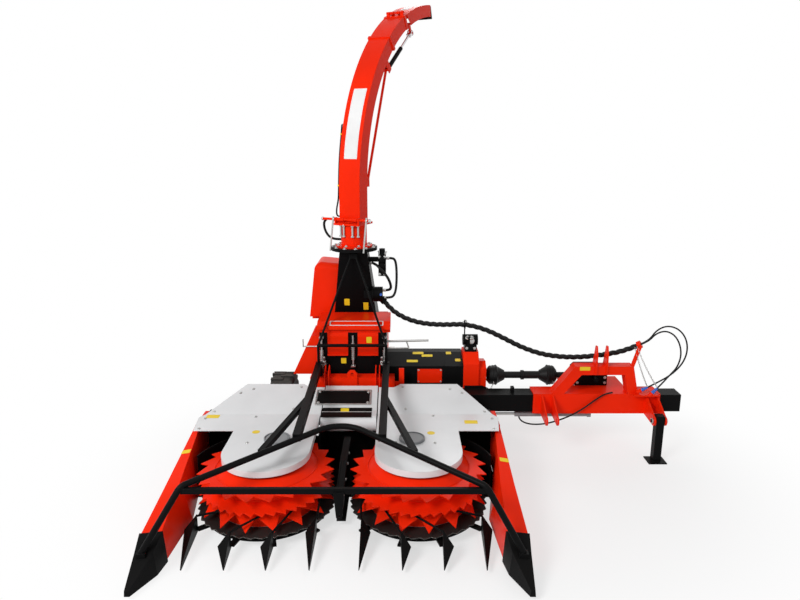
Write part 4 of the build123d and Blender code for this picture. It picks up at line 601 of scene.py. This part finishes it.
# ---- Drawbar and headstock: a black square tube, and a red sleeve that slides on
# it with lugs for the lower links, an A mast, the input gear box and the shafts.
coat("main_tube input_gearbox stand_leg", black)
coat("hose_bundle tractor_hose_a tractor_hose_b", hose_rubber)
coat("shift_cylinder", grey)
coat("sleeve lower_link_lugs top_link_lugs mast_frame", red)
coat("shift_rod", steel)
plastic = finish("guard plastic", (0.006, 0.006, 0.0062), 0.45, worn=(0.05, 0.05, 0.05), wear=0.3, dust=0.03,
                 gloss=0.15)
coat("pto_guard_left pto_guard_right couplers", plastic)
gear_bolts = [(bolt, facing(at(x, 1075, z), (0, -1, 0), z)) for x in (1822, 2045) for z in (500, 545, 590)]
fill_plug = spun([(0, 0), (0, 0.015), (0.006, 0.015), (0.006, 0.010), (0.014, 0.010), (0.016, 0.008),
                  (0.016, 0)], 20)
piece("headstock_bolts", "headstock", steel,
      gear_bolts + [(fill_plug, facing(at(1990, SHAFT_Y, 614)))])
piece("mast_label", "headstock", yellow,
      [(sheet_plate(0.082, 0.030, 0.0005, 0.004), lying(at(1822, 888, 688), (0, -1, 0)))])
# the guards' bells are ribbed, and each is held from turning by a light chain
for name, body, ribs in (("pto_ribs_left", "machine", ((1124, 75.3), (1146, 78.3), (1168, 81.3))),
                         ("pto_ribs_right", "headstock", ((1636, 75.6), (1616, 78.5), (1596, 81.4)))):
    placed = []
    for x, radius in ribs:
        low, high = radius / 1000 - 0.002, radius / 1000 + 0.0025
        placed.append((spun([(-0.004, low), (-0.003, high), (0.003, high), (0.004, low)], 40),
                       facing(at(x, SHAFT_Y, SHAFT_Z), (1, 0, 0))))
    piece(name, body, plastic, placed)
collar = spun([(-0.012, 0.031), (-0.012, 0.0395), (0.012, 0.0395), (0.012, 0.031)], 32)
piece("pto_collar", "headstock", plastic,
      [(collar, facing(at(1390, SHAFT_Y, SHAFT_Z), (1, 0, 0)))])
link = spun([(-0.0018, 0.0055), (0, 0.0075), (0.0018, 0.0055), (0, 0.0038), (-0.0018, 0.0055)], 12)


def chain(start, end, sag):
    """Links in a row that hang between two points, each turned square to the last."""
    start, end = Vector(start), Vector(end)
    pitch = 12.5                # from link to link
    count = int(((end - start).length + sag * 0.6) / pitch)
    spots = [start.lerp(end, n / count) - Vector((0, 0, 4 * sag * (n / count) * (1 - n / count)))
             for n in range(count + 1)]
    placed = []
    for n, (here, there) in enumerate(zip(spots, spots[1:])):
        way = (there - here).normalized()
        flat = way.orthogonal().normalized()
        side = flat if n % 2 else way.cross(flat)
        placed.append((link, lying(at(*((here + there) / 2)), side, way, lift=0)
                       @ Matrix.Diagonal((1.35, 1, 1, 1))))
    return placed


piece("pto_chain_left", "machine", steel, chain((1150, 1110, 500), (1060, 1052, 400), 30))
piece("pto_chain_right", "headstock", steel, chain((1632, 1110, 500), (1800, 1074, 480), 40))
piece("cap_chains", "headstock", steel,
      chain((2212, 932, 850), (2300, 840, 560), 18) + chain((2225, 922, 858), (2372, 828, 560), 20))
# the shift cylinder's hose runs from its port under the sleeve and up to the mast
route = [(1330, 930, 268), (1336, 912, 246), (1385, 902, 222), (1450, 896, 214), (1540, 884, 226),
         (1640, 872, 262), (1740, 866, 310), (1830, 866, 368), (1905, 868, 430), (1975, 874, 476),
         (2020, 882, 488), (2050, 890, 489)]
hose("cylinder_hose", "headstock", 0.006, route)

# ---- Stand: a square leg on a foot plate, folded up about its pivot pin, which has
# a plated collar at each end, outside the lugs.
pin_collar = spun([(0, 0.008), (0, 0.021), (0.001, 0.022), (0.008, 0.022), (0.009, 0.021),
                   (0.009, 0.008)], 28)
piece("stand_pin_collars", "stand", steel,
      [(pin_collar, facing(joint["stand_fold"] + Vector((side * 0.050, 0, 0)), (side, 0, 0)))
       for side in (-1, 1)])

# ---- Spout: a red curved duct of rectangular section on a turning collar, folded
# down about a pin, with an end flap, its cylinder and a black deflector.
coat("spout_collar spout_duct spout_upper_duct end_flap linkage_rod", red)
coat("tip_deflector flap_cylinder", black)
chrome = finish("chrome", (0.62, 0.62, 0.63), 0.12, worn=(0.5, 0.5, 0.5), wear=0.1, dust=0.02, metallic=1.0,
                bump=0.0001)
coat("flap_cylinder_rod", chrome)
coat("latch_levers", steel)
LEAN = math.radians(25)         # how far the spout stands turned, clockwise from above
BEND_R = 1570                   # middle line of the duct's bend
BEND_Y, BEND_Z = BEND_R, 2030   # the bend's centre


def spout_way(x, y, z):
    """A direction in the spout's own frame, which stands turned from the machine's."""
    return Vector((math.cos(LEAN) * x + math.sin(LEAN) * y, -math.sin(LEAN) * x + math.cos(LEAN) * y, z))


def on_spout(x, y, z):
    """A point of the spout in millimetres: across the duct, back from its axis, up from the ground."""
    turned = spout_way(x, y, z)
    return at(turned.x, SWIVEL_Y + turned.y, turned.z)


def round_bend(radius, degrees):
    """Back and up of a point on the duct's bend."""
    turn = math.radians(degrees)
    return BEND_Y - radius * math.cos(turn), BEND_Z + radius * math.sin(turn)


collar_r, collar_z = 132, 1585.3    # bolt circle of the turning collar's flange, and its top
collar_bolts = []
for n in range(8):
    turn = math.tau * n / 8
    spot = on_spout(collar_r * math.cos(turn), collar_r * math.sin(turn), collar_z)
    collar_bolts.append((big_bolt, facing(spot, (0, 0, 1), n)))
clamp_bolt = spun([(0, 0), (0, 0.013), (0.012, 0.013), (0.012, 0.008), (0.084, 0.008), (0.086, 0.014),
                   (0.100, 0.014), (0.102, 0.010), (0.102, 0)], 18)
collar_bolts += [(clamp_bolt, facing(on_spout(x, y, 1660)))
                 for x, y in ((-66, -98), (-30, -113), (46, -108), (84, -84))]
piece("collar_bolts", "spout_collar", steel, collar_bolts)
pin_cap = spun([(0, 0), (0, 0.0145), (0.012, 0.0145), (0.014, 0.012), (0.014, 0)], 24)
piece("fold_pin_caps", "spout_collar", chrome,
      [(pin_cap, facing(on_spout(x, -106, 1800), spout_way(side, 0, 0)))
       for x, side in ((-224, -1), (196, 1))])
hose_union = spun([(0, 0), (0, 0.009), (0.008, 0.009), (0.009, 0.0065), (0.020, 0.0065), (0.020, 0)], 6)
clip = spun([(-0.006, 0.0), (-0.006, 0.0105), (0.006, 0.0105), (0.006, 0.0)], 16)
route = [(-114, -30, 1815), (-128, -34, 1815), (-136, -42, 1836), (-126, -52, 1890), (-108, -54, 1950),
         (-104, -54, 2030)]
route += [(-104, *round_bend(BEND_R + 50, degrees)) for degrees in (4, 8, 12, 15)]
route += [(-110, *round_bend(BEND_R + 48, 17.4)), (-114, *round_bend(BEND_R + 44, 18.4))]


def spout_hose(name, body, radius, points):
    """A hose on the spout, its route given in the spout's own frame."""
    places = [(on_spout(*point) - at(0, 0, 0)) * 1000 for point in points]
    hose(name, body, radius, places)


spout_hose("spout_hose", "spout", 0.0065, route)
piece("spout_hose_unions", "spout", steel,
      [(hose_union, facing(on_spout(*place), spout_way(-1, 0, 0)))
       for place in ((-94, -30, 1815), (-94, *round_bend(BEND_R + 40, 18.6)))])
piece("spout_hose_clips", "spout", yellow,
      [(clip, facing(on_spout(-104, *round_bend(BEND_R + 51, degrees)), spout_way(0, 0.15, 1)))
       for degrees in (1.2, 15.6)])
route = [(-208, -88, 1790), (-222, -84, 1782), (-236, -80, 1755), (-232, -74, 1705), (-206, -66, 1655),
         (-168, -56, 1632), (-128, -44, 1628), (-100, -36, 1628)]
spout_hose("collar_hose", "spout_collar", 0.010, route)
white_vinyl = finish("white vinyl", (0.80, 0.80, 0.80), 0.4, worn=(0.5, 0.5, 0.5), wear=0.1, dust=0.05,
                     gloss=0.3)


def curved_sticker(name, body, low, high, left, right, centre, radius):
    """Vinyl laid round the duct's outer sheet: an edge across it, swept from one angle to another."""
    mesh, bm = bpy.data.meshes.new(name), bmesh.new()
    start = math.radians(low)
    ends = [bm.verts.new((x / 1000, (centre[0] - radius * math.cos(start)) / 1000,
                          (centre[1] + radius * math.sin(start)) / 1000)) for x in (left, right)]
    line = bm.edges.new(ends)
    bmesh.ops.spin(bm, geom=ends + [line], cent=(0, centre[0] / 1000, centre[1] / 1000), axis=(1, 0, 0),
                   angle=-math.radians(high - low), steps=16)
    bmesh.ops.solidify(bm, geom=bm.faces[:], thickness=0.0006)
    bmesh.ops.recalc_face_normals(bm, faces=bm.faces)
    bmesh.ops.transform(bm, matrix=Matrix.Translation(at(0, SWIVEL_Y, 0)) @ Matrix.Rotation(-LEAN, 4, "Z"),
                        verts=bm.verts)
    bm.to_mesh(mesh)
    bm.free()
    mesh.materials.append(white_vinyl)
    thing = bpy.data.objects.new(name, mesh)
    scene.collection.objects.link(thing)
    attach(thing, body)


curved_sticker("spout_sticker", "spout", 9, 29.4, -54, 63, (1563.73, 2019.72), 1630.6)
curved_sticker("tip_sticker", "end_flap", 69, 74, -40, 40, (1559.01, 2026.55), 1622.6)

# ---- Long hoses: a bundle in a woven sleeve from the motor to the clamp on the
# mast, then two free hoses with blue couplers.
bundle = [(252, 1336, 1112), (300, 1325, 1060), (365, 1311, 1012), (455, 1291, 972), (575, 1262, 948),
          (725, 1224, 948), (905, 1180, 968), (1068, 1161, 930), (1215, 1144, 862), (1366, 1126, 786),
          (1532, 1106, 732), (1712, 1082, 716), (1880, 1060, 728), (2028, 1030, 760), (2146, 992, 798),
          (2238, 950, 858)]
guide = hose("bundle_route", "machine", 0.022, bundle)
guide.data.bevel_resolution, guide.data.resolution_u = 8, 20
tube = bpy.data.objects.new("hose_bundle_sleeve", bpy.data.meshes.new_from_object(guide))
guide.data.bevel_depth = 0
line = bpy.data.meshes.new_from_object(guide)
follows = [vertex.co.copy() for vertex in line.vertices]
bpy.data.objects.remove(guide)
# three hoses lie twisted together under the sleeve, so its girth winds along it
twist = 0.055                   # length of one turn of the three, in metres
tree = KDTree(len(follows))
for index, point in enumerate(follows):
    tree.insert(point, index)
tree.balance()
gone = [0.0]
for before, after in zip(follows, follows[1:]):
    gone.append(gone[-1] + (after - before).length)
for vertex in tube.data.vertices:
    centre, index, _ = tree.find(vertex.co)
    near = follows[min(index + 1, len(follows) - 1)] - follows[max(index - 1, 0)]
    out = vertex.co - centre
    side = near.cross(Vector((0, 0, 1))).normalized()
    angle = math.atan2(out.dot(side.cross(near.normalized())), out.dot(side))
    wave = math.sin(3 * angle + gone[index] * math.tau / twist)
    vertex.co = centre + out * (0.86 + 0.13 * wave)
tube.data.shade_smooth()
scene.collection.objects.link(tube)
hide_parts("hose_bundle")
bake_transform(tube)
route_a = [(2266.04, 949.29, 873.31), (2314.55, 927.14, 904.95), (2352, 893, 1000), (2430, 884, 1040),
           (2520, 880, 1012), (2582, 876, 935), (2600, 872, 835), (2568, 866, 735), (2490, 858, 652),
           (2392, 856, 590), (2312, 860, 545)]
route_b = [(2256.90, 929.27, 873.31), (2305.41, 907.12, 904.95), (2345, 882, 975), (2415, 872, 1002),
           (2486, 864, 968), (2532, 858, 890), (2545, 852, 800), (2520, 846, 712), (2462, 842, 645),
           (2410, 842, 578), (2380, 842, 544)]
# a quick coupler: crimped ferrule, knurled sleeve, dust cap, all in blue plastic
half_coupler = spun([(0, 0), (0, 0.0085), (0.014, 0.0085), (0.0145, 0.0125), (0.018, 0.0125), (0.020, 0.011),
                     (0.030, 0.011), (0.032, 0.0135), (0.037, 0.0135), (0.039, 0.0125), (0.041, 0.0135),
                     (0.046, 0.0135), (0.0535, 0.012), (0.0535, 0)], 28)
for name, route, length in (("tractor_hose_a", route_a, 0.962), ("tractor_hose_b", route_b, 0.780)):
    tip = at(*route[-1])
    end = piece(name + "_coupler", "headstock", blue,
                [(half_coupler, facing(tip, tip - at(*route[-2])))])
    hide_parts("couplers")
    free = hose(name + "_line", "headstock", 0.006, route)
    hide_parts(name)
